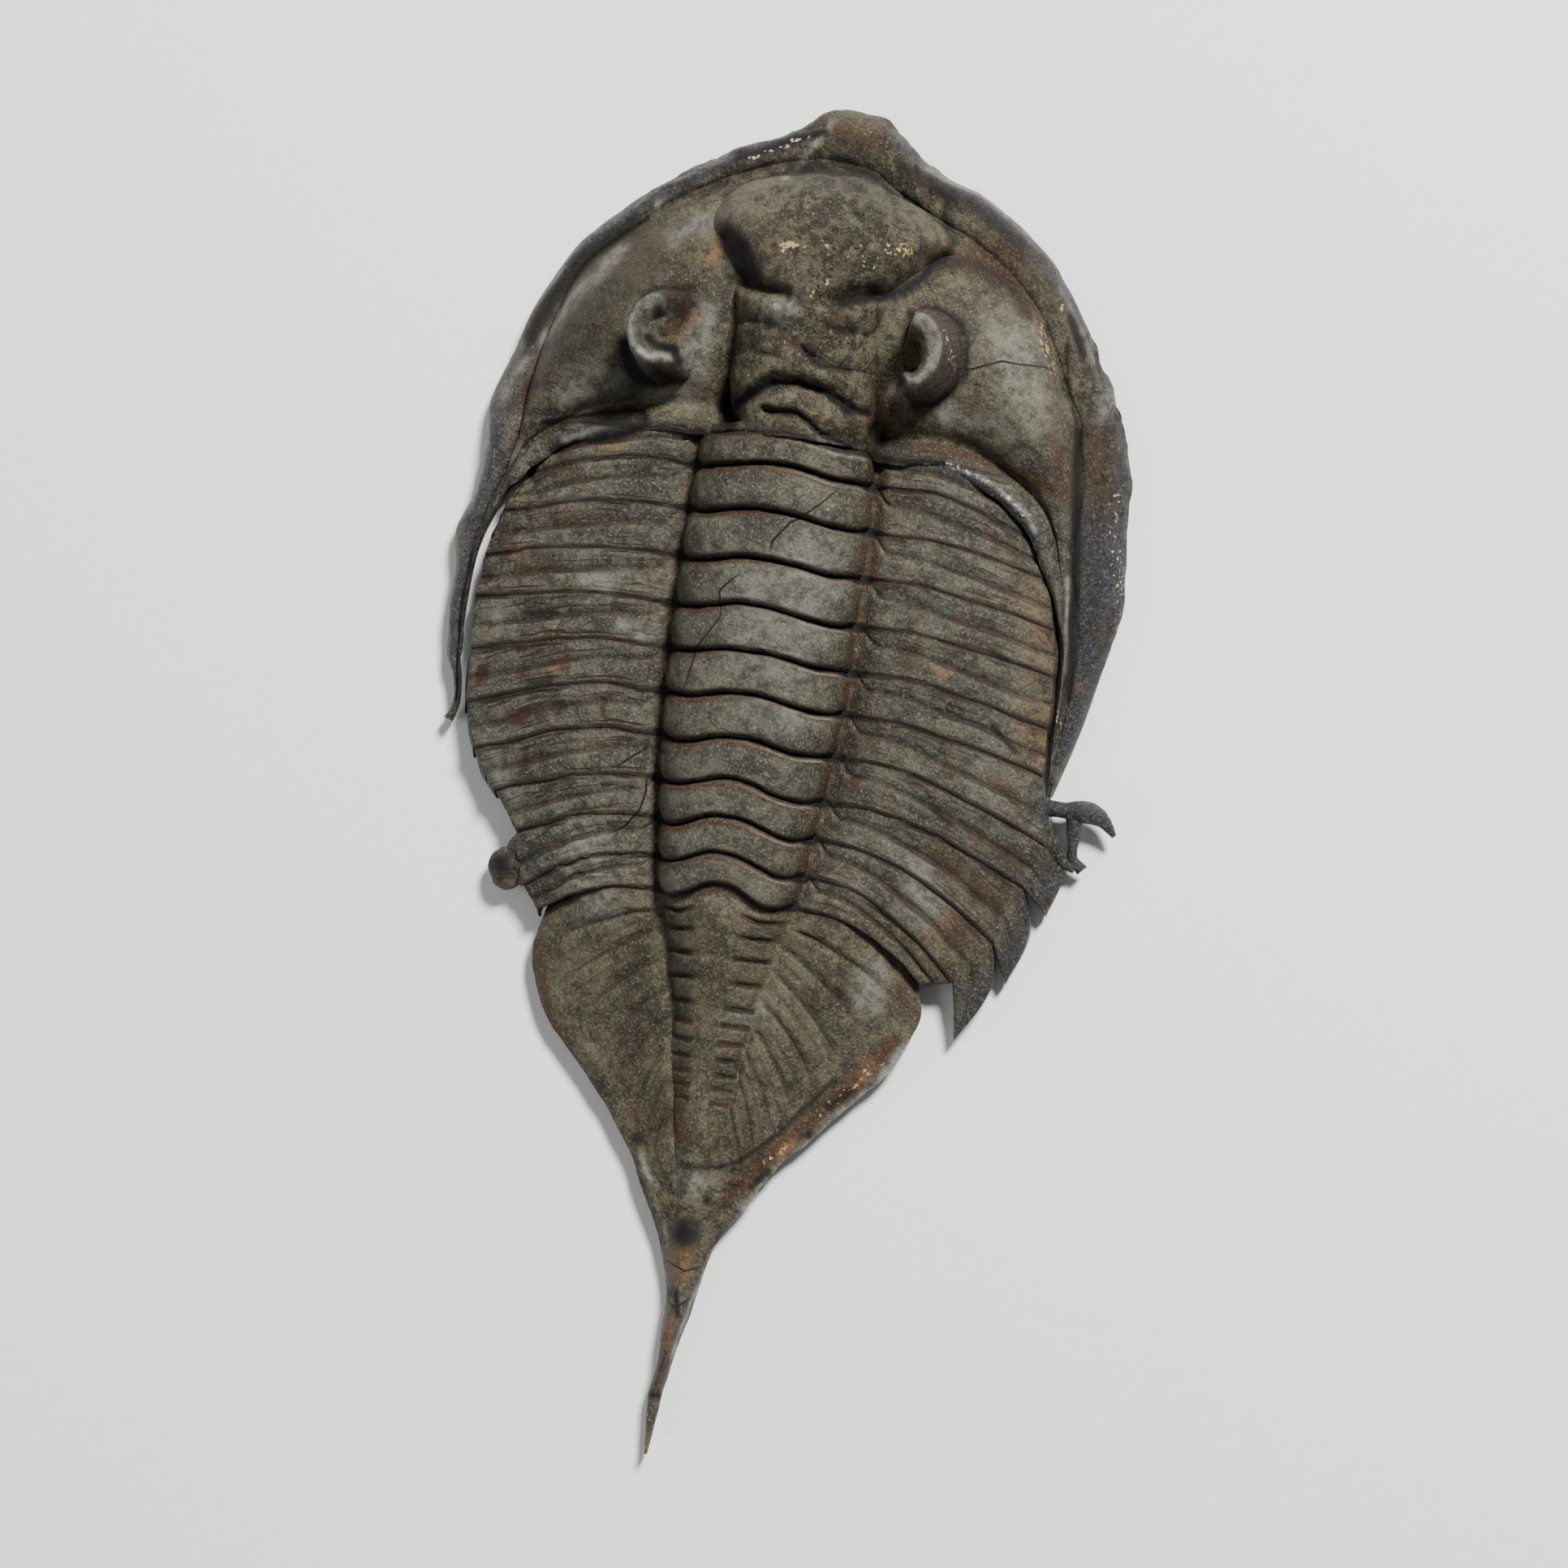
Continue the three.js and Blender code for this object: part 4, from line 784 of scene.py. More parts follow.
ORANGE = [
    ([[-0.3, -39.8], [-0.2, -40.8]], 0.55, 0.55), ([[-0.3, -43], [-0.5, -44.4]], 0.35, 0.45),
    ([[15, -9.6]], 0.4, 1.0), ([[-6.3, 5.6], [-5.9, 5.8]], 0.4, 0.7),
    ([[-5.7, 8.7], [-5.3, 9.2]], 0.4, 0.8), ([[-6.7, 4.9]], 0.35, 0.8),
    ([[12.3, -6.6], [12.9, -7.2]], 0.3, 0.5), ([[4.1, -7.9]], 0.22, 0.9),
    ([[7.6, -9.6], [8.8, -10]], 0.25, 0.4), ([[7.6, -29.3], [7.2, -30.3]], 0.35, 0.9),
    ([[4.3, -33.7], [4, -34.4]], 0.35, 0.9), ([[-13.6, -6.4], [-12.8, -6.8]], 0.4, 0.4),
    ([[13.7, -12.2], [13.5, -13.4]], 0.35, 0.5), ([[10.4, -21.6], [9.6, -22.4]], 0.4, 0.5),
    ([[-9.6, -0.9], [-8.6, -0.6]], 0.25, 0.7),
    ([[12, -5.4], [13, -8], [13.2, -11], [13, -13.6]], 0.9, 0.35),
    ([[-10.8, -12.1], [-10.1, -12.2]], 0.25, 0.6),
]
# Dark marks: partly dark stains and partly painted shadow. The crescent beside the left eye and the hook in
# its pit are painted shadow.
DARK_AND_SHADOW = [
    ([[-5.4, 12], [-4.1, 13.1], [-2.1, 13.5], [-0.2, 13.8], [1.6, 13.7], [3.2, 13]], 0.17, 0.75),
    ([[3.2, 13], [4.3, 12.7], [5.2, 12.1], [6.1, 11.2], [5.6, 10.2]], 0.14, 0.7),
    ([[1, 7.2], [2, 7.6], [3.2, 8], [3.8, 8.3], [4.6, 9], [5.2, 9.9], [5.7, 10.2]], 0.3, 1.0),
    ([[-4.9, 9.8], [-4.1, 8.9], [-3.5, 8.1]], 0.6, 0.95),
    ([[-4.8, 8], [-3.3, 7.5], [-1.5, 7.3]], 0.17, 0.9), ([[0.5, 6], [1.8, 5.8]], 0.16, 0.9),
    ([[-3.2, 5.8], [-1.5, 5.6]], 0.13, 0.7), ([[-0.5, 4.9], [0.2, 4.2], [1.9, 4]], 0.17, 0.9),
    ([[-2.8, 4.4], [-1.5, 4.2]], 0.12, 0.8),
    ([[-3.8, 1], [-3.4, 1.9], [-1.8, 3], [-0.5, 3.2], [0.9, 2.8], [2, 2.2], [3, 2.2]], 0.2, 1.0),
    ([[-1.9, 1.6], [-0.3, 1.6], [0.8, 0.8], [2.4, 0.5]], 0.13, 1.0),
    ([[-3.8, 2], [-3.5, 0.8]], 0.5, 0.9), ([[3.4, 1.6], [3.8, 1]], 0.42, 0.85),
    ([[-5, 14.2], [-3, 15.1], [-1, 15.9]], 0.28, 0.9), ([[-2.4, 14], [-0.8, 14.2]], 0.3, 0.8),
    ([[-0.2, 14.6], [0.8, 14.3], [1.8, 13.9]], 0.4, 0.8), ([[3.4, 13.1], [4, 12.9]], 0.25, 0.9),
    ([[4.6, 13.8], [5.8, 13.4]], 0.2, 0.9), ([[3, 14.6], [4.4, 14.1]], 0.4, 0.7),
    ([[4.4, 14.1], [7.4, 12.9], [9.4, 11.5]], 0.35, 0.6),
    ([[-9.8, 10.4], [-11.6, 8.6], [-13.2, 6.2], [-14.1, 4]], 0.4, 0.75),
    ([[-9, 5.4], [-8.9, 6], [-8.4, 6.6], [-7.6, 6.9], [-6, 7.1]], 0.16, 0.95),
    ([[-9.3, 4.1], [-8.9, 3], [-8.2, 2.5], [-7.3, 2.5], [-6.5, 2.8]], 0.38, 1.0),
    ([[-8, 4.3], [-7.5, 4], [-6.7, 4.1], [-6.4, 3.5]], 0.24, 0.95),
    ([[4.3, 7.2], [5.9, 7.6], [6.8, 7.1], [7.3, 6.1], [7.4, 4.8], [7, 3.8], [6.2, 3], [5.2, 2.9]],
     0.16, 0.95),
    ([[-12.9, -0.1], [-10.8, 0.5], [-8.4, 1], [-7.8, 0.9], [-7.6, 0.4], [-7.9, 0.1]], 0.13, 1.0),
    ([[-7.9, 0.1], [-9.4, -0.3], [-11, -1.1], [-12.1, -1.5]], 0.2, 1.0), ([[4.3, 0.1]], 0.35, 0.8),
    ([[-0.2, -38.7]], 0.8, 0.95), ([[0.6, -37.1]], 0.25, 0.9), ([[-0.9, -47], [-0.4, -46.9]], 0.12, 1.0),
    ([[-0.3, -41.8], [0, -42.8]], 0.13, 0.9), ([[-0.6, -41.9]], 0.2, 0.7), ([[-5.4, -15.4]], 0.2, 1.0),
    ([[-4.6, -15.4]], 0.18, 1.0), ([[-11.9, -22.2]], 0.7, 0.8),
    ([[6.1, -30.2], [4.6, -31.9], [3.7, -33.1], [2.7, -34.2], [1.8, -35], [0.9, -35.4], [-0.9, -35.4]],
     0.14, 0.8),
    ([[13.3, 2.8], [13.6, 0], [13.9, -2], [14.2, -4.5], [14.5, -8], [14.7, -10]], 0.28, 0.85),
    ([[-3.3, -34.6]], 0.4, 0.8), ([[12.2, 8.3], [13, 6.6]], 0.22, 0.9),
    ([[5.9, 10], [7.4, 10.2], [9.2, 9.2], [9.9, 8.2]], 0.4, 0.6), ([[-13.6, 1.6]], 0.4, 0.7),
    ([[9, -16.6], [9.8, -17]], 0.14, 0.9), ([[10.6, -8.4], [11.6, -8.8]], 0.16, 0.8),
    ([[11.2, -12], [12.4, -13]], 0.16, 0.8), ([[-12.4, -9.6], [-10.8, -9.4]], 0.16, 0.8),
    ([[-11.6, -13], [-10.6, -12.8]], 0.16, 0.8), ([[5.6, 13.3], [5.5, 12.4], [6, 11.8]], 0.2, 0.8),
    ([[12.2, 7], [12.7, 4.6], [13.2, 2.9]], 0.12, 0.6), ([[6.9, -30.6], [5.9, -31.6]], 0.2, 0.8),
    ([[5.1, -33.1]], 0.25, 0.9), ([[3.4, -35.2], [2.7, -36.1]], 0.18, 0.8),
]
# Glossy patches: they lower the roughness, and their colour is a painted sheen, dark blue-grey with pale
# glints.
GLOSS_AND_SHEEN = [
    ([[14.4, -1.5], [15, -5], [15.3, -9], [15, -13]], 0.7, 0.85),
    ([[15.8, 3], [16.2, -1.5], [16, -6.4]], 0.7, 0.6),
    ([[-15.2, -1], [-15.6, -5], [-15.6, -9], [-15.5, -14]], 0.6, 0.9),
    ([[14.9, -18.8], [14.3, -20.2]], 0.8, 0.9), ([[14.2, -21.6], [13.2, -23.8]], 0.7, 0.9),
    ([[12.8, -24.4], [11.8, -26.8]], 0.8, 0.95), ([[15, -15.6], [17.6, -16.2]], 1.2, 1.0),
    ([[16, -17.6]], 1.0, 1.0), ([[11.8, -26.6], [11.5, -27.9]], 0.6, 0.9),
    ([[10.6, -24.9], [12.2, -25.4]], 0.5, 0.8),
    ([[2.5, -37.2], [1.2, -39.8], [0.5, -42.4], [0.1, -44.4], [-0.4, -49.4]], 0.22, 0.9),
    ([[-7.6, -30.4], [-4.9, -33.9], [-2.3, -37.4], [-1.1, -40.6], [-0.9, -44]], 0.28, 0.8),
    ([[7.2, 0.1], [9, -0.4], [10.6, -1.3], [11.9, -2.6]], 0.4, 1.1),
    ([[-12, -1], [-10, 0], [-8.5, 0.3]], 0.2, 0.9),
    ([[2.6, 16], [6, 14.1], [9.3, 12.4], [11.6, 10.2], [13.6, 7.4]], 0.5, 0.8),
    ([[-2.4, 15.6], [-6.5, 13.5], [-9.5, 11.2], [-12, 8.9], [-14, 5.8]], 0.55, 0.8),
    ([[-14.2, 3.6], [-15, 0.8], [-15.3, -0.8]], 0.5, 0.8), ([[-12.3, -21.9]], 0.7, 0.6),
    ([[14.2, 6], [16, 2.4]], 0.9, 0.5), ([[15, -1.8], [15.4, -3.4], [15.4, -6]], 1.2, 0.9),
    ([[-10.2, -21.6], [-9.6, -23.2]], 0.8, 0.5), ([[-14.4, -2.4], [-15.2, -5], [-15.4, -8]], 0.35, 0.9),
]
# Pale marks: worn pale ground, and painted highlights, such as the glints along the head's rear edge and
# outer borders, and painted light that lifts the shade under the left eye.
PALE_AND_HIGHLIGHT = [
    ([[9.3, -28.2], [8.2, -30.1], [6.5, -32.2], [4.8, -34.3], [3.5, -36], [2.6, -37.3]], 0.3, 1.3),
    ([[2.5, -37.3], [1.2, -39.8], [0.5, -42.4], [0, -45]], 0.1, 0.8), ([[-11.2, -23]], 0.4, 0.4),
    ([[-3, -35.5], [-2.5, -36.2], [-1.9, -36.7]], 0.12, 0.9), ([[-1.3, -38.4], [-1, -39.3]], 0.1, 0.7),
    ([[0.7, -5.6], [2, -5.8]], 1.3, 0.55), ([[-1, -7.6], [1.5, -8]], 1.4, 0.4),
    ([[-1.5, -10], [1, -10.2]], 1.3, 0.3), ([[6.8, 2.8]], 0.5, 0.9), ([[7.7, 2.4], [9, 2.6]], 0.5, 0.4),
    ([[9.5, 6.5], [10.5, 3]], 1.6, 0.35), ([[-8, -20.5], [-7, -23]], 1.2, 0.5),
    ([[8.4, -19.5], [9.2, -21]], 0.8, 0.6), ([[7.2, -24.6], [7, -26.4]], 0.7, 0.5),
    ([[0, -36.2]], 0.9, 0.4), ([[-1.8, 2.3], [-0.3, 2.5], [1.4, 1.9]], 0.3, 0.1),
    ([[-2.2, 6.6], [-1.4, 6.7]], 0.35, 0.8),
    ([[7.3, 0.3], [8.4, 0], [9.6, -0.4], [10.6, -1], [11.3, -1.5], [11.9, -2.3]], 0.13, 1.1),
    ([[-11.6, -0.9], [-9.8, 0.05], [-8.3, 0.5]], 0.16, 0.9), ([[13.8, -4.5], [14.4, -8.9]], 0.12, 0.7),
    ([[-0.3, -12.6], [1.4, -13]], 0.9, 0.3), ([[1.2, -27.5], [2.2, -27.2]], 0.8, 0.3),
    ([[-5.4, 6], [-5.6, 3.6]], 0.6, 0.6),
    ([[-8.8, 5.8], [-9, 4.6], [-8.7, 3.8], [-7.9, 3.4], [-7, 3.6]], 0.26, 1.0),
    ([[-8.1, 5.6]], 0.4, 0.7), ([[5.4, 5.6], [5.7, 4.6], [5, 3.6], [4.1, 3.4]], 0.26, 0.7),
    ([[-0.7, 16.5], [-1.5, 14.7], [-2.5, 13.2]], 0.12, 0.8),
    ([[4, 14.8], [7.4, 13.7], [9.5, 12.3]], 0.12, 0.8), ([[-7.6, 9.6], [-6.4, 10.6]], 0.5, 0.5),
    ([[-10.1, 8.8], [-12.1, 6.1], [-13.4, 4]], 0.35, 0.6), ([[-8.6, 11.5], [-8.8, 10.7]], 0.15, 0.7),
    ([[-11.6, 1.5], [-9.6, 2.2]], 0.8, 0.45), ([[-7.6, 1.9], [-5.6, 1.9]], 0.5, 0.5),
    ([[11.6, 9.6], [13.2, 7.2], [14.2, 5]], 0.12, 0.4), ([[14.6, 4.9], [14.2, 3.6]], 0.4, 0.4),
    ([[-14.2, 2.9], [-15.1, 0.6]], 0.25, 0.5), ([[-9.4, -7.6], [-8.4, -7.8]], 0.45, 0.6),
    ([[-13.7, -9.9]], 0.6, 0.5), ([[-7.6, -9.6], [-6.4, -10]], 0.35, 0.5),
    ([[-13.3, -16.2], [-12, -18.4]], 0.6, 0.5),
]
# Flecks: gold pyrite, and painted white glints where the ground is glossy, as along the head's rear edge.
FLECKS_AND_GLINTS = [
    ([[-2.1, 9.5], [-1.7, 9.7]], 0.4, 1.35), ([[3, 10], [4, 10.1]], 0.45, 1.35),
    ([[-1.3, 8.2]], 0.35, 1.2), ([[0, 8], [-0.5, 7.4]], 0.4, 1.15), ([[1.9, 9]], 0.5, 1.1),
    ([[-1.8, 9.2], [3, 9.8]], 1.6, 0.75), ([[1, 12.5], [-1, 11]], 1.2, 0.7), ([[1.4, 16]], 0.4, 1.1),
    ([[-4.4, 14.2], [-3.4, 14.6], [-1.6, 15.6]], 0.35, 1.1),
    ([[10.8, 7.7], [11.2, 6.4], [11.7, 5.6]], 0.45, 1.25), ([[11.7, 8.8]], 0.22, 1.6),
    ([[8.1, 9.4]], 0.2, 1.3), ([[14.2, 1.3]], 0.18, 1.5), ([[8.2, -28.8], [4.2, -33.6]], 0.4, 0.95),
    ([[7.6, -29.3], [7.2, -30.3]], 0.3, 1.15), ([[5.9, -32.2]], 0.3, 1.1),
    ([[4.3, -33.7], [3.2, -34.8]], 0.3, 1.15), ([[15.6, 1], [16, -4]], 0.7, 0.8),
    ([[16.1, -2.6], [16.7, -6.5]], 0.45, 1.05), ([[-1.6, 4.8]], 0.8, 0.8),
    ([[7.3, 0.3], [8.4, 0], [9.6, -0.4], [10.6, -1], [11.4, -1.6]], 0.24, 1.35),
    ([[1, -1.4], [3, -3.6]], 0.6, 0.7), ([[-0.75, -48]], 0.25, 1.3), ([[-2.5, 13.6]], 0.6, 0.8),
    ([[6.2, 6.2], [6.8, 5]], 0.5, 0.95), ([[14.2, -11], [14.4, -12]], 0.3, 1.0),
]
ROUGH = [
    ([[0.6, 6.6], [0.4, 3.6]], 3.0, 1.0), ([[0, 11], [2.5, 12]], 3.4, 1.0), ([[-8, -21]], 1.8, 1.0),
    ([[-11.6, -22.3]], 1.2, 1.2), ([[-13, 0], [-14, -6]], 1.6, 0.6),
    ([[16, 3], [16, -3], [16.2, -7]], 1.2, 0.8), ([[-1, 16], [1.5, 15.5], [5, 13.8]], 1.6, 0.9),
    ([[13.4, 6.6], [14.3, 5], [14.8, 3.4]], 0.9, 1.6), ([[3, -35.6], [0, -36.6]], 1.4, 0.8),
    ([[-9, 12.4], [-4, 14.8]], 1.2, 0.7),
]
CRACKS = [
    [[2.3, -1.6], [0.7, -3.2], [0.1, -3.6], [-0.7, -4.6], [-0.8, -5.2]],
    [[-1.8, -6.3], [-2.9, -7.4], [-2.6, -8.5], [-3.6, -10.2], [-3.7, -11], [-4, -12.4]],
    [[-5.4, -15.4], [-6.8, -16.5]],
    [[-5.3, -16.8], [-5.2, -17.5], [-5.4, -18.4], [-6, -19.3], [-6.6, -19.8]],
    [[7.3, 4.7], [8.2, 5.1], [9.1, 5.55], [10.2, 5.5], [11.8, 5.55]],
    [[-0.9, -40.3], [0, -40.7], [0.8, -40.4]], [[-0.8, -42.2], [-0.2, -42.5], [0.5, -42]],
]
# The painted marks by name, and how crisp the edges of their strokes are.
STROKES = {"rust": (RUST, 1), "orange": (ORANGE, 1), "dark_and_shadow": (DARK_AND_SHADOW, 2), "gloss_and_sheen": (GLOSS_AND_SHEEN, 1),
           "pale_and_highlight": (PALE_AND_HIGHLIGHT, 1), "fleck_and_glint": (FLECKS_AND_GLINTS, 1), "shade": (SHADE, 1)}
# A stroke fades out within this many half-widths.
STROKE_REACH = 2.5
# How far from a line its distance is read, and where its mark fades out, in millimetres.
LINE_REACH = 0.6
LINE_FADE = (0.2, 0.34)
# Strength of the lines: along a segment's rear edge from the midline to the tip, the neck's as a
# share of it, along the furrow of a flank, and on the tail's ribs by their side. Behind each rib
# line runs a weaker one.
EDGE_POWER = np.array([1, 1, 1, 1, 1, 0.65, 0.65, 1, 0.5])
NECK_EDGE_SHARE = 0.7
FLANK_POWER = [0.2, 0.6, 0.9, 0.8, 0.4]
RIB_POWER = {-1: 0.55, 1: 0.6}
RIB_SPLIT = 0.6
RIB_SPLIT_SHARE = 0.6
# Widths of the lines in millimetres, and what is added to them at some places.
EDGE_WIDTH = 0.1
EDGE_RING_EXTRA = 0.03
EDGE_FURROW_EXTRA = 0.24
EDGE_OUTER_EXTRA = 0.06
GROOVE_WIDTH = 0.1
GROOVE_TAIL_WIDTH = 0.17
GROOVE_OUTER_EXTRA = 0.07
# The brown strip and the glint behind the rear edge of each ring: how far behind, and how wide.
STRIP_BEHIND = 0.32
STRIP_WIDTH = 0.11
GLINT_BEHIND = 0.25
GLINT_WIDTH = 0.05
# Strength of the marks that follow the forms. A pair holds the left and the right side.
FURROW_RUST = 0.8
WALL_RUST = 0.75
STRIP_RUST = 1.1
WALL_DARK = 0.6
EYE_GLOSS_AND_SHEEN = 0.3
RIM_PALE = (0.3, 0.35)
GLINT_PALE = 0.8
FLANK_STREAKS = (1.35, 0.8)
# Unevenness in millimetres, everywhere and what worn ground adds, and its waves in a millimetre.
UNEVEN = 0.04
UNEVEN_WORN = 0.11
UNEVEN_WAVES = 1.1
# How far straight lines of the surface are bent, the waves of that in a millimetre, and where its
# noise is read for X and for Y.
DRIFT = 0.12
DRIFT_WAVES = 0.45
DRIFT_READ_AT = (20, 70)


def seen(points):
    """Where the photograph shows drawing points, in millimetres across and along the body."""
    across = (points[:, 0] - math.tan(LEAN) * points[:, 2]) * math.cos(LEAN)
    return np.column_stack([across, points[:, 1]])


def stroke_mask(at, strokes, crisp=1):
    """The strength of the strongest stroke at each place. A higher crisp gives harder edges."""
    mask = np.zeros(len(at))
    for path, radius, strength in strokes:
        distance = path_distance(at, path, radius * STROKE_REACH)[0]
        mask = np.maximum(mask, strength * bump((distance / radius) ** crisp))
    return mask


def line_marks(at, lines):
    """Signed distance to the nearest line, and the line's strength close to it. A line is a path
    and the strengths along it, and fades at its ends."""
    best = np.full(len(at), LINE_REACH)
    signed = best.copy()
    strength = np.zeros(len(at))
    for path, power in lines:
        distance, side, share = path_distance(at, path, LINE_REACH)
        closer = distance < best
        best = np.where(closer, distance, best)
        signed = np.where(closer, side, signed)
        here = np.interp(share, np.linspace(0, 1, len(power)), power)
        strength = np.where(closer, here * (1 - (2 * share - 1) ** 8), strength)
    return signed, strength * (1 - step(*LINE_FADE, best))


def edge_lines():
    """The rear edge of each thorax segment and of the neck ring, on the plan."""
    columns = np.linspace(-1.97, 1.97, 90)
    power = np.concatenate([EDGE_POWER[:0:-1], EDGE_POWER])
    return [(np.column_stack(rear_edge(i, columns)), power * (NECK_EDGE_SHARE if i < 0 else 1.0))
            for i in range(-1, len(SEGMENTS))]


def groove_lines():
    """Furrows of the flanks, and the rings and ribs of the tail shield."""
    lines = []
    for side, power in RIB_POWER.items():
        flank = side * np.linspace(1.06, 1.78, 24)
        rib = side * np.linspace(1.04, 1.74, 20)
        ring = side * np.linspace(0.3, 1.0, 12)
        for i in range(len(SEGMENTS)):
            lines.append((segment_point(i, flank, 0 * flank + FURROW_ROW), FLANK_POWER))
        for y in RIB_LINES:
            lines.append((tail_point(0 * rib + y, rib), [power]))
            lines.append((tail_point(0 * rib + y - RIB_SPLIT, rib), [power * RIB_SPLIT_SHARE]))
        for y in RING_LINES:
            lines.append((tail_point(0 * ring + y, ring), [1.0]))
    return [(path[:, :2], power) for path, power in lines]


def eye_marks(points):
    """Lens wall, pale rim and rows of lenses, as masks over the eyes."""
    wall, rim, lens = np.zeros((3, len(points)))
    z = points[:, 2]
    for side, foot, top, pit in EYES:
        from_pit = (points[:, :2] - pit) * (side, 1)
        rel = (points[:, :2] - mix(np.array(foot), np.array(top), 0.6)) * (side, 1)
        phi = np.arctan2(rel[:, 1], rel[:, 0])
        outward = 0.5 + 0.5 * np.cos(phi)
        reach = np.hypot(rel[:, 0] / mix(EYE_WIDTH_INNER, EYE_WIDTH_OUTER, outward), rel[:, 1])
        _, outer_z, inner_z, _ = EYE_LEVELS[EYE_RIM_LEVEL]
        rim_z = mix(inner_z, outer_z, step(0, 0.5, outward))
        here = (1 - step(2.5, 2.65, reach)) * step(5.0, 5.3, z)
        out_of_pit = np.hypot(from_pit[:, 0] / EYE_WIDTH_OUTER, from_pit[:, 1])
        under = step(0.1, 0.3, rim_z - z) * step(1.2, 1.35, out_of_pit)
        over = (1 - under) * step(0.75, 0.95, out_of_pit)
        wall = np.maximum(wall, here * under * step(0.02, 0.2, outward))
        rim = np.maximum(rim, here * over * step(0.12, 0.35, outward))
        rows = np.abs(np.cos(phi * LENS_COLUMNS)) * np.abs(np.sin(z * LENS_ROWS_PER_MM))
        lens = np.where(here > 0, rows, lens)
    return wall, rim, lens


def points_of(mesh):
    """The mesh's points in drawing millimetres."""
    flat = np.empty(len(mesh.vertices) * 3, np.float32)
    mesh.vertices.foreach_get("co", flat)
    return flat.reshape(-1, 3).astype(float) / MM - OFFSET


def roughen(mesh):
    """Small unevenness of the stone, strongest on the worn parts, none on the flat underside."""
    points = points_of(mesh)
    normals = np.empty(len(points) * 3, np.float32)
    mesh.vertices.foreach_get("normal", normals)
    upper = step(0.7, 1.2, points[:, 2])
    amount = UNEVEN + UNEVEN_WORN * stroke_mask(seen(points), ROUGH)
    wave = np.array([noise.fractal(Vector(p * UNEVEN_WAVES), 0.7, 2.1, 4) for p in points])
    moved = points + normals.reshape(-1, 3) * (upper * amount * wave)[:, None]
    for axis, shift in enumerate(DRIFT_READ_AT):
        moved[:, axis] += DRIFT * upper * [noise.noise(Vector(p * DRIFT_WAVES + shift)) for p in points]
    mesh.vertices.foreach_set("co", ((moved + OFFSET) * MM).astype(np.float32).ravel())
    mesh.update()


def places_on(points):
    """Shares of the upper side, of the thorax, of the furrow beside its rings, and the way
    outwards from the midline, with 1 at that furrow."""
    x, y, z = points.T
    axis = np.abs(x) / axis_half_width(y)
    thorax = step(-22.6, -22, y) * (1 - step(0.6, 1.2, y))
    return step(0.35, 0.6, z), thorax, bump((axis - 1) / 0.07) * thorax, axis


def line_values(points):
    """Distance, strength and width of the lines that the material draws."""
    upper, thorax, furrow, axis = places_on(points)
    outer = thorax * step(1.6, 2.5, axis)
    edge, edge_power = line_marks(points[:, :2], edge_lines())
    groove, groove_power = line_marks(points[:, :2], groove_lines())
    crack, crack_power = line_marks(seen(points), [(path, [1.0]) for path in CRACKS])
    edge_width = (EDGE_WIDTH + EDGE_RING_EXTRA * (1 - step(0.95, 1.15, axis))
                  + EDGE_FURROW_EXTRA * furrow + EDGE_OUTER_EXTRA * outer)
    tail_ring = (axis < 1) & (points[:, 1] < -21)
    groove_width = np.where(tail_ring, GROOVE_TAIL_WIDTH, GROOVE_WIDTH)
    return {
        "edge": edge,
        "edge_power": edge_power * upper,
        "edge_width": edge_width,
        "groove": groove,
        "groove_power": groove_power * upper,
        "groove_width": groove_width + GROOVE_OUTER_EXTRA * outer,
        "crack": crack,
        "crack_power": crack_power * upper,
    }


def stain_and_light_values(points, edge):
    """Strength of each stain and of each painted shade, sheen and highlight. Edge is the signed distance to
    the segments' rear edges.
    """
    upper, thorax, furrow, axis = places_on(points)
    x = points[:, 0]
    at = seen(points)
    ring = thorax * (1 - step(0.85, 1, axis))
    wall, rim, lens = eye_marks(points)
    strip = bump((edge + STRIP_BEHIND) / STRIP_WIDTH) * ring
    glint = bump((edge + GLINT_BEHIND) / GLINT_WIDTH) * ring * step(-1, 3, x)
    # Marks that follow the forms: rust, dark on the lens wall, gloss with painted sheen on the eyes, the pale
    # rim, and the glint behind each ring as a painted highlight.
    by_form = {
        "rust": [FURROW_RUST * furrow, WALL_RUST * wall, STRIP_RUST * strip],
        "dark_and_shadow": [WALL_DARK * wall * (1 - lens)],
        "gloss_and_sheen": [EYE_GLOSS_AND_SHEEN * wall, EYE_GLOSS_AND_SHEEN * rim],
        "pale_and_highlight": [np.where(x < 0, *RIM_PALE) * rim, GLINT_PALE * glint],
    }
    values = {"rough": stroke_mask(at, ROUGH), "earthy": 1 - 0.85 * thorax,
              "flank": thorax * step(1.02, 1.3, axis) * np.where(x < 0, *FLANK_STREAKS)}
    for name, (strokes, crisp) in STROKES.items():
        masks = [stroke_mask(at, strokes, crisp), *by_form.get(name, [])]
        values[name] = np.maximum.reduce(masks) * upper
    return values


def store_marks(mesh):
    """Stores each mark on the mesh's points, where the material reads it."""
    points = points_of(mesh)
    marks = line_values(points)
    marks.update(stain_and_light_values(points, marks["edge"]))
    for name, values in marks.items():
        attribute = mesh.attributes.new(name, "FLOAT", "POINT")
        attribute.data.foreach_set("value", np.ascontiguousarray(values, np.float32))


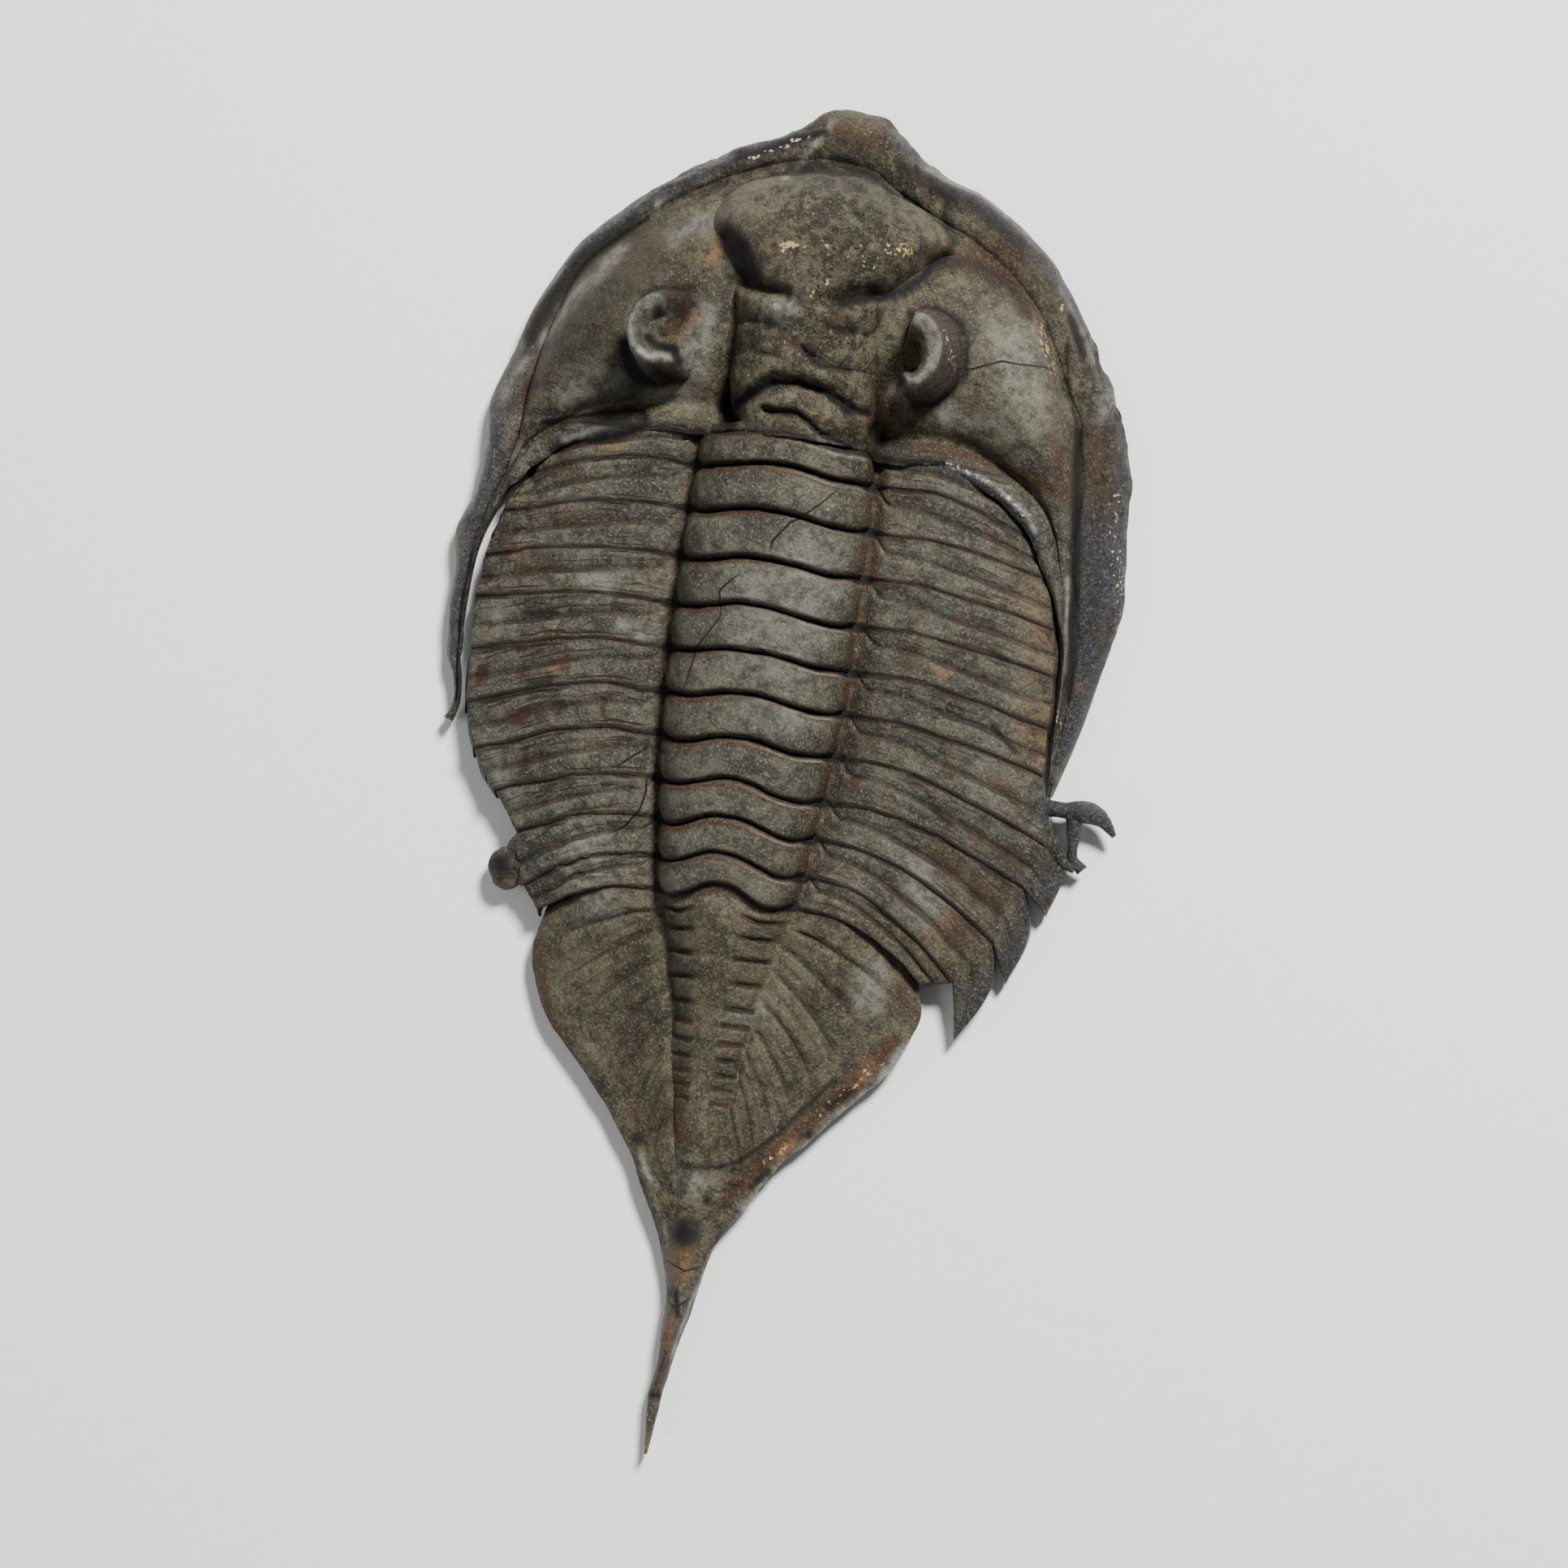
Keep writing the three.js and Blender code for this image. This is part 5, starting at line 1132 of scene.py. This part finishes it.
class Nodes:
    """Builds a node tree: inputs are sockets or plain values, and each call gives its output."""

    def __init__(self, material):
        material.use_nodes = True
        self.tree = material.node_tree
        self.shader = self.tree.nodes["Principled BSDF"]
        self.place = self.add("ShaderNodeVectorMath", {0: self.add("ShaderNodeTexCoord", {}, "Object"),
                                                       "Scale": 1 / MM}, operation="SCALE")

    def add(self, kind, inputs, output=0, **settings):
        node = self.tree.nodes.new(kind)
        for name, value in settings.items():
            setattr(node, name, value)
        for key, value in inputs.items():
            self.put(node.inputs[key], value)
        return node.outputs[output]

    def put(self, socket, value):
        if isinstance(value, bpy.types.NodeSocket):
            self.tree.links.new(value, socket)
        else:
            socket.default_value = value

    def math(self, operation, a, b=0.0, clamp=False):
        return self.add("ShaderNodeMath", {0: a, 1: b}, operation=operation, use_clamp=clamp)

    def times(self, a, b, clamp=False):
        return self.math("MULTIPLY", a, b, clamp)

    def plus(self, a, b):
        return self.math("ADD", a, b)

    def minus(self, a, b):
        return self.math("SUBTRACT", a, b)

    def attribute(self, name):
        return self.add("ShaderNodeAttribute", {}, "Fac", attribute_name=name)

    def noise(self, scale, detail, roughness=0.6, vector=None):
        """A noise by its waves in a millimetre."""
        return self.add("ShaderNodeTexNoise", {"Vector": vector or self.place, "Scale": scale,
                                               "Detail": detail, "Roughness": roughness})

    def remap(self, value, low, high, to_low=0.0, to_high=1.0):
        return self.add("ShaderNodeMapRange", {0: value, 1: low, 2: high, 3: to_low, 4: to_high},
                        interpolation_type="SMOOTHSTEP")

    def blend(self, factor, a, b, blend_type="MIX"):
        node = self.tree.nodes.new("ShaderNodeMix")
        node.data_type = "RGBA"
        node.blend_type = blend_type
        for key, value in ((0, factor), (6, a), (7, b)):
            self.put(node.inputs[key], value)
        return node.outputs[2]

    def lerp(self, factor, a, b):
        return self.add("ShaderNodeMix", {0: factor, 2: a, 3: b})

    def mark(self, name, broken_by, low, high, weakest, strongest):
        """A stored mark, weakest where a noise is low and strongest where it is high."""
        share = self.remap(broken_by, low, high, weakest, strongest)
        return self.times(self.attribute(name), share, clamp=True)

    def line(self, name, width, wobble=0.0):
        """A thin line along the zero of a signed distance, as wide as asked in millimetres."""
        away = self.math("ABSOLUTE", self.plus(self.attribute(name), wobble))
        share = self.math("DIVIDE", away, width)
        return self.times(self.remap(share, 0.55, 1.1, 1, 0), self.attribute(name + "_power"))


class Stone(Nodes):
    """The noises and marks that the layers of the fossil's stone share."""

    def __init__(self, material):
        super().__init__(material)
        self.patches = self.noise(0.3, 4)
        self.tint = self.noise(0.75, 4)
        self.mottle = self.noise(1.4, 6, 0.7)
        self.grain = self.noise(7.0, 5, 0.75)
        self.specks = self.noise(4.5, 3, 0.5)
        self.worn = self.attribute("rough")
        self.flank = self.attribute("flank")
        self.pits = self.remap(self.specks, 0.36, 0.28)
        self.gloss_and_sheen = self.mark("gloss_and_sheen", self.mottle, 0.36, 0.5, 0.4, 1.1)
        self.dark_and_shadow = self.mark("dark_and_shadow", self.mottle, 0.3, 0.5, 0.75, 1.1)
        self.waver = self.remap(self.mottle, 0.3, 0.7, 0.5, 1.6)
        self.crack = self.line("crack", self.times(self.waver, CRACK_WIDTH))
        flecks_and_glints = self.plus(self.specks, self.times(self.attribute("fleck_and_glint"), 0.27))
        self.fleck_and_glint = self.remap(flecks_and_glints, 0.83, 0.93)
        self.streaks = self.noise(1.0, 5, vector=self.streak_place())
        self.streak = self.times(self.remap(self.streaks, 0.52, 0.66), self.flank)

    def streak_place(self):
        """Where the streaks' noise is read, so that they run along the segments' edges."""
        across, lengthwise = (self.add("ShaderNodeSeparateXYZ", {0: self.place}, k) for k in (0, 1))
        return self.add("ShaderNodeCombineXYZ", {0: self.times(across, 0.35),
                                                 1: self.times(self.attribute("edge"), 5.0),
                                                 2: self.times(lengthwise, 0.12)})


STONE_DARK = (0.018, 0.016, 0.010, 1)
STONE_LIGHT = (0.086, 0.082, 0.061, 1)
STONE_PALE = (0.225, 0.218, 0.19, 1)
RUST_BROWN = (0.030, 0.0125, 0.005, 1)
RUST_ORANGE = (0.16, 0.085, 0.032, 1)
# Near black: cracks and pits, and also painted shadow in the gaps behind the segments and in the dark marks.
NEAR_BLACK = (0.004, 0.003, 0.002, 1)
BLUE_GREY = (0.013, 0.013, 0.018, 1)
PYRITE = (0.46, 0.34, 0.15, 1)
GLINT = (0.60, 0.58, 0.54, 1)
EARTHY = (1.0, 0.93, 0.76, 1)
SHADED = (0.42, 0.40, 0.36, 1)
WARM = (1.04, 0.985, 0.94, 1)
COOL = (0.98, 1.0, 0.97, 1)
FLOOR_DARK = (0.84, 0.835, 0.82, 1)
FLOOR_LIGHT = (0.88, 0.875, 0.86, 1)
# Millimetres: width of a crack, and of the brown fringe around the gap behind a segment.
CRACK_WIDTH = 0.045
FRINGE_WIDTH = 0.12
STONE_BUMP = 0.13 * MM
STONE_SPECULAR = 0.3
GLOSSY = 0.25
DARK_ROUGHNESS = 0.8


def stone_ground(n):
    """Bare stone: mottled and grained, with brown stains and black pits on worn ground."""
    tone = n.plus(n.times(n.patches, 0.45), n.times(n.mottle, 0.55))
    tone = n.plus(tone, n.times(n.minus(n.mottle, 0.5), n.times(n.worn, 1.3)))
    color = n.blend(n.remap(tone, 0.39, 0.63), STONE_DARK, STONE_LIGHT)
    color = n.blend(n.remap(n.grain, 0.5, 0.72, 0, 0.7), color, STONE_PALE)
    color = n.blend(n.remap(n.grain, 0.5, 0.28, 0, 0.85), color, STONE_DARK)
    color = n.blend(1.0, color, n.blend(n.remap(n.tint, 0.42, 0.58), COOL, WARM), "MULTIPLY")
    stain = n.times(n.worn, n.remap(n.tint, 0.52, 0.64, 0, 0.6))
    color = n.blend(stain, color, RUST_BROWN)
    return n.blend(n.times(n.pits, n.plus(n.worn, 0.15), clamp=True), color, NEAR_BLACK)


def stone_stains_and_painted_light(n, color):
    """The painted marks, from the widest tint to the darkest spots: real stains, and painted shade, sheen,
    highlights and shadows.
    """
    color = n.blend(n.times(n.streak, 0.85), color, RUST_BROWN)
    color = n.blend(n.attribute("earthy"), color, EARTHY, "MULTIPLY")
    color = n.blend(n.mark("shade", n.patches, 0.35, 0.6, 0.7, 1.1), color, SHADED, "MULTIPLY")
    rust = n.blend(n.remap(n.grain, 0.5, 0.7), RUST_BROWN, RUST_ORANGE)
    color = n.blend(n.mark("rust", n.mottle, 0.35, 0.6, 0.45, 1.15), color, rust)
    color = n.blend(n.mark("orange", n.mottle, 0.4, 0.56, 0.2, 1), color, RUST_ORANGE)
    # Painted sheen on the glossy patches: dark blue-grey with pale glints from the grain.
    painted_sheen = n.blend(n.remap(n.grain, 0.5, 0.75, 0, 0.6), BLUE_GREY, STONE_PALE)
    color = n.blend(n.times(n.gloss_and_sheen, 0.85), color, painted_sheen)
    pale_and_highlight = n.blend(n.remap(n.mottle, 0.36, 0.6), STONE_LIGHT, STONE_PALE)
    color = n.blend(n.attribute("pale_and_highlight"), color, pale_and_highlight)
    return n.blend(n.dark_and_shadow, color, NEAR_BLACK)


def stone_lines(n, color):
    """Furrows, the black gaps behind the segments with their brown fringe, cracks and flecks. The black of
    the gaps is painted shadow with dark stain, and the flecks are pyrite and painted glints.
    """
    groove = n.line("groove", n.times(n.waver, n.attribute("groove_width")))
    furrow = n.blend(n.remap(n.tint, 0.4, 0.6), NEAR_BLACK, RUST_BROWN)
    color = n.blend(n.times(groove, 0.9), color, furrow)
    wobble = n.times(n.remap(n.streaks, 0.3, 0.7, -0.14, 0.14), n.flank)
    width = n.times(n.waver, n.attribute("edge_width"))
    broken = n.times(n.remap(n.mottle, 0.47, 0.39), n.flank)
    edge = n.times(n.line("edge", width, wobble), n.minus(1.0, n.times(broken, 0.75)))
    fringe = n.line("edge", n.plus(width, FRINGE_WIDTH), wobble)
    color = n.blend(n.times(fringe, 0.6), color, RUST_BROWN)
    # Black line behind each segment's rear edge: painted shadow of the gap, with dark stain.
    color = n.blend(edge, color, NEAR_BLACK)
    color = n.blend(n.crack, color, NEAR_BLACK)
    return n.blend(n.fleck_and_glint, color, n.blend(n.gloss_and_sheen, PYRITE, GLINT))


def stone_roughness(n):
    rough = n.remap(n.grain, 0.3, 0.7, 0.5, 0.72)
    for mark, value in ((n.gloss_and_sheen, GLOSSY), (n.fleck_and_glint, GLOSSY), (n.dark_and_shadow, DARK_ROUGHNESS)):
        rough = n.lerp(mark, rough, value)
    return rough


def stone_relief(n):
    relief = n.times(n.mottle, n.plus(n.worn, 0.9))
    height = n.plus(relief, n.times(n.grain, 0.6))
    height = n.minus(height, n.plus(n.crack, n.times(n.streak, 0.4)))
    height = n.minus(height, n.times(n.pits, 0.5))
    return n.add("ShaderNodeBump", {"Height": height, "Distance": STONE_BUMP, "Strength": 1.0})


def stone_material():
    material = bpy.data.materials.new("fossil_stone")
    n = Stone(material)
    n.put(n.shader.inputs["Base Color"], stone_lines(n, stone_stains_and_painted_light(n, stone_ground(n))))
    n.put(n.shader.inputs["Roughness"], stone_roughness(n))
    n.put(n.shader.inputs["Metallic"], n.times(n.fleck_and_glint, 0.5))
    n.put(n.shader.inputs["Normal"], stone_relief(n))
    n.shader.inputs["Specular IOR Level"].default_value = STONE_SPECULAR
    return material


def floor_material():
    material = bpy.data.materials.new("floor")
    n = Nodes(material)
    fibre = n.noise(1.2, 5)
    n.put(n.shader.inputs["Base Color"], n.blend(fibre, FLOOR_DARK, FLOOR_LIGHT))
    n.put(n.shader.inputs["Roughness"], n.remap(fibre, 0.2, 0.8, 0.75, 0.9))
    return material


SHARP_ANGLE = math.radians(50)
store_marks(fossil.data)
roughen(fossil.data)
fossil.data.materials.clear()
fossil.data.materials.append(stone_material())
fossil.data.shade_smooth()
fossil.data.set_sharp_from_angle(angle=SHARP_ANGLE)
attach(fossil, "root")
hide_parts("trilobite")

# Camera: the photograph's direction, turn and framing, through a long lens.
TARGET = Vector(np.array((1.8, -16.19, 1.5)) + OFFSET) * MM
VIEW_WIDTH = 77.3 * MM
LENS = 120
SENSOR = 36
toward = Vector((math.sin(LEAN), 0, math.cos(LEAN)))
level = Vector((math.cos(LEAN), 0, -math.sin(LEAN)))
head_up = Vector((0, 1, 0))
right = math.cos(ROLL) * level + math.sin(ROLL) * head_up
up = math.cos(ROLL) * head_up - math.sin(ROLL) * level
camera_data = bpy.data.cameras.new("camera")
camera_data.lens = LENS
camera_data.sensor_width = SENSOR
camera_data.clip_start = 0.01
camera_data.clip_end = 10
camera = bpy.data.objects.new("camera", camera_data)
bpy.context.scene.collection.objects.link(camera)
turn = Matrix((right, up, toward)).transposed()
camera.matrix_world = Matrix.Translation(TARGET + toward * VIEW_WIDTH * LENS / SENSOR) @ turn.to_4x4()
bpy.context.scene.camera = camera

# Lights: place and width in metres, and power in watts.
LIGHTS = {"key": ((0.16, 0.26, 0.34), 0.1, 5.2), "fill": ((-0.35, -0.1, 0.35), 0.4, 0.7)}
SKY_COLOR = (0.9, 0.92, 0.95, 1)
SKY_STRENGTH = 0.22
FLOOR_REACH = 2000


def area_light(name, place, width, power):
    """A round light that shines at the fossil."""
    data = bpy.data.lights.new(name, "AREA")
    data.shape = "DISK"
    data.size = width
    data.energy = power
    obj = bpy.data.objects.new(name, data)
    bpy.context.scene.collection.objects.link(obj)
    obj.location = place
    obj.rotation_euler = (-Vector(place)).to_track_quat("-Z", "Y").to_euler()
    obj.visible_camera = False


for name, settings in LIGHTS.items():
    area_light(name, *settings)

world = bpy.data.worlds.new("world")
bpy.context.scene.world = world
world.use_nodes = True
sky = world.node_tree.nodes["Background"]
sky.inputs["Color"].default_value = SKY_COLOR
sky.inputs["Strength"].default_value = SKY_STRENGTH

corners = np.array([[-1, -1, 0], [1, -1, 0], [1, 1, 0], [-1, 1, 0]]) * FLOOR_REACH
floor = mesh_object("floor", corners, [(0, 1, 2, 3)])
floor.data.materials.append(floor_material())
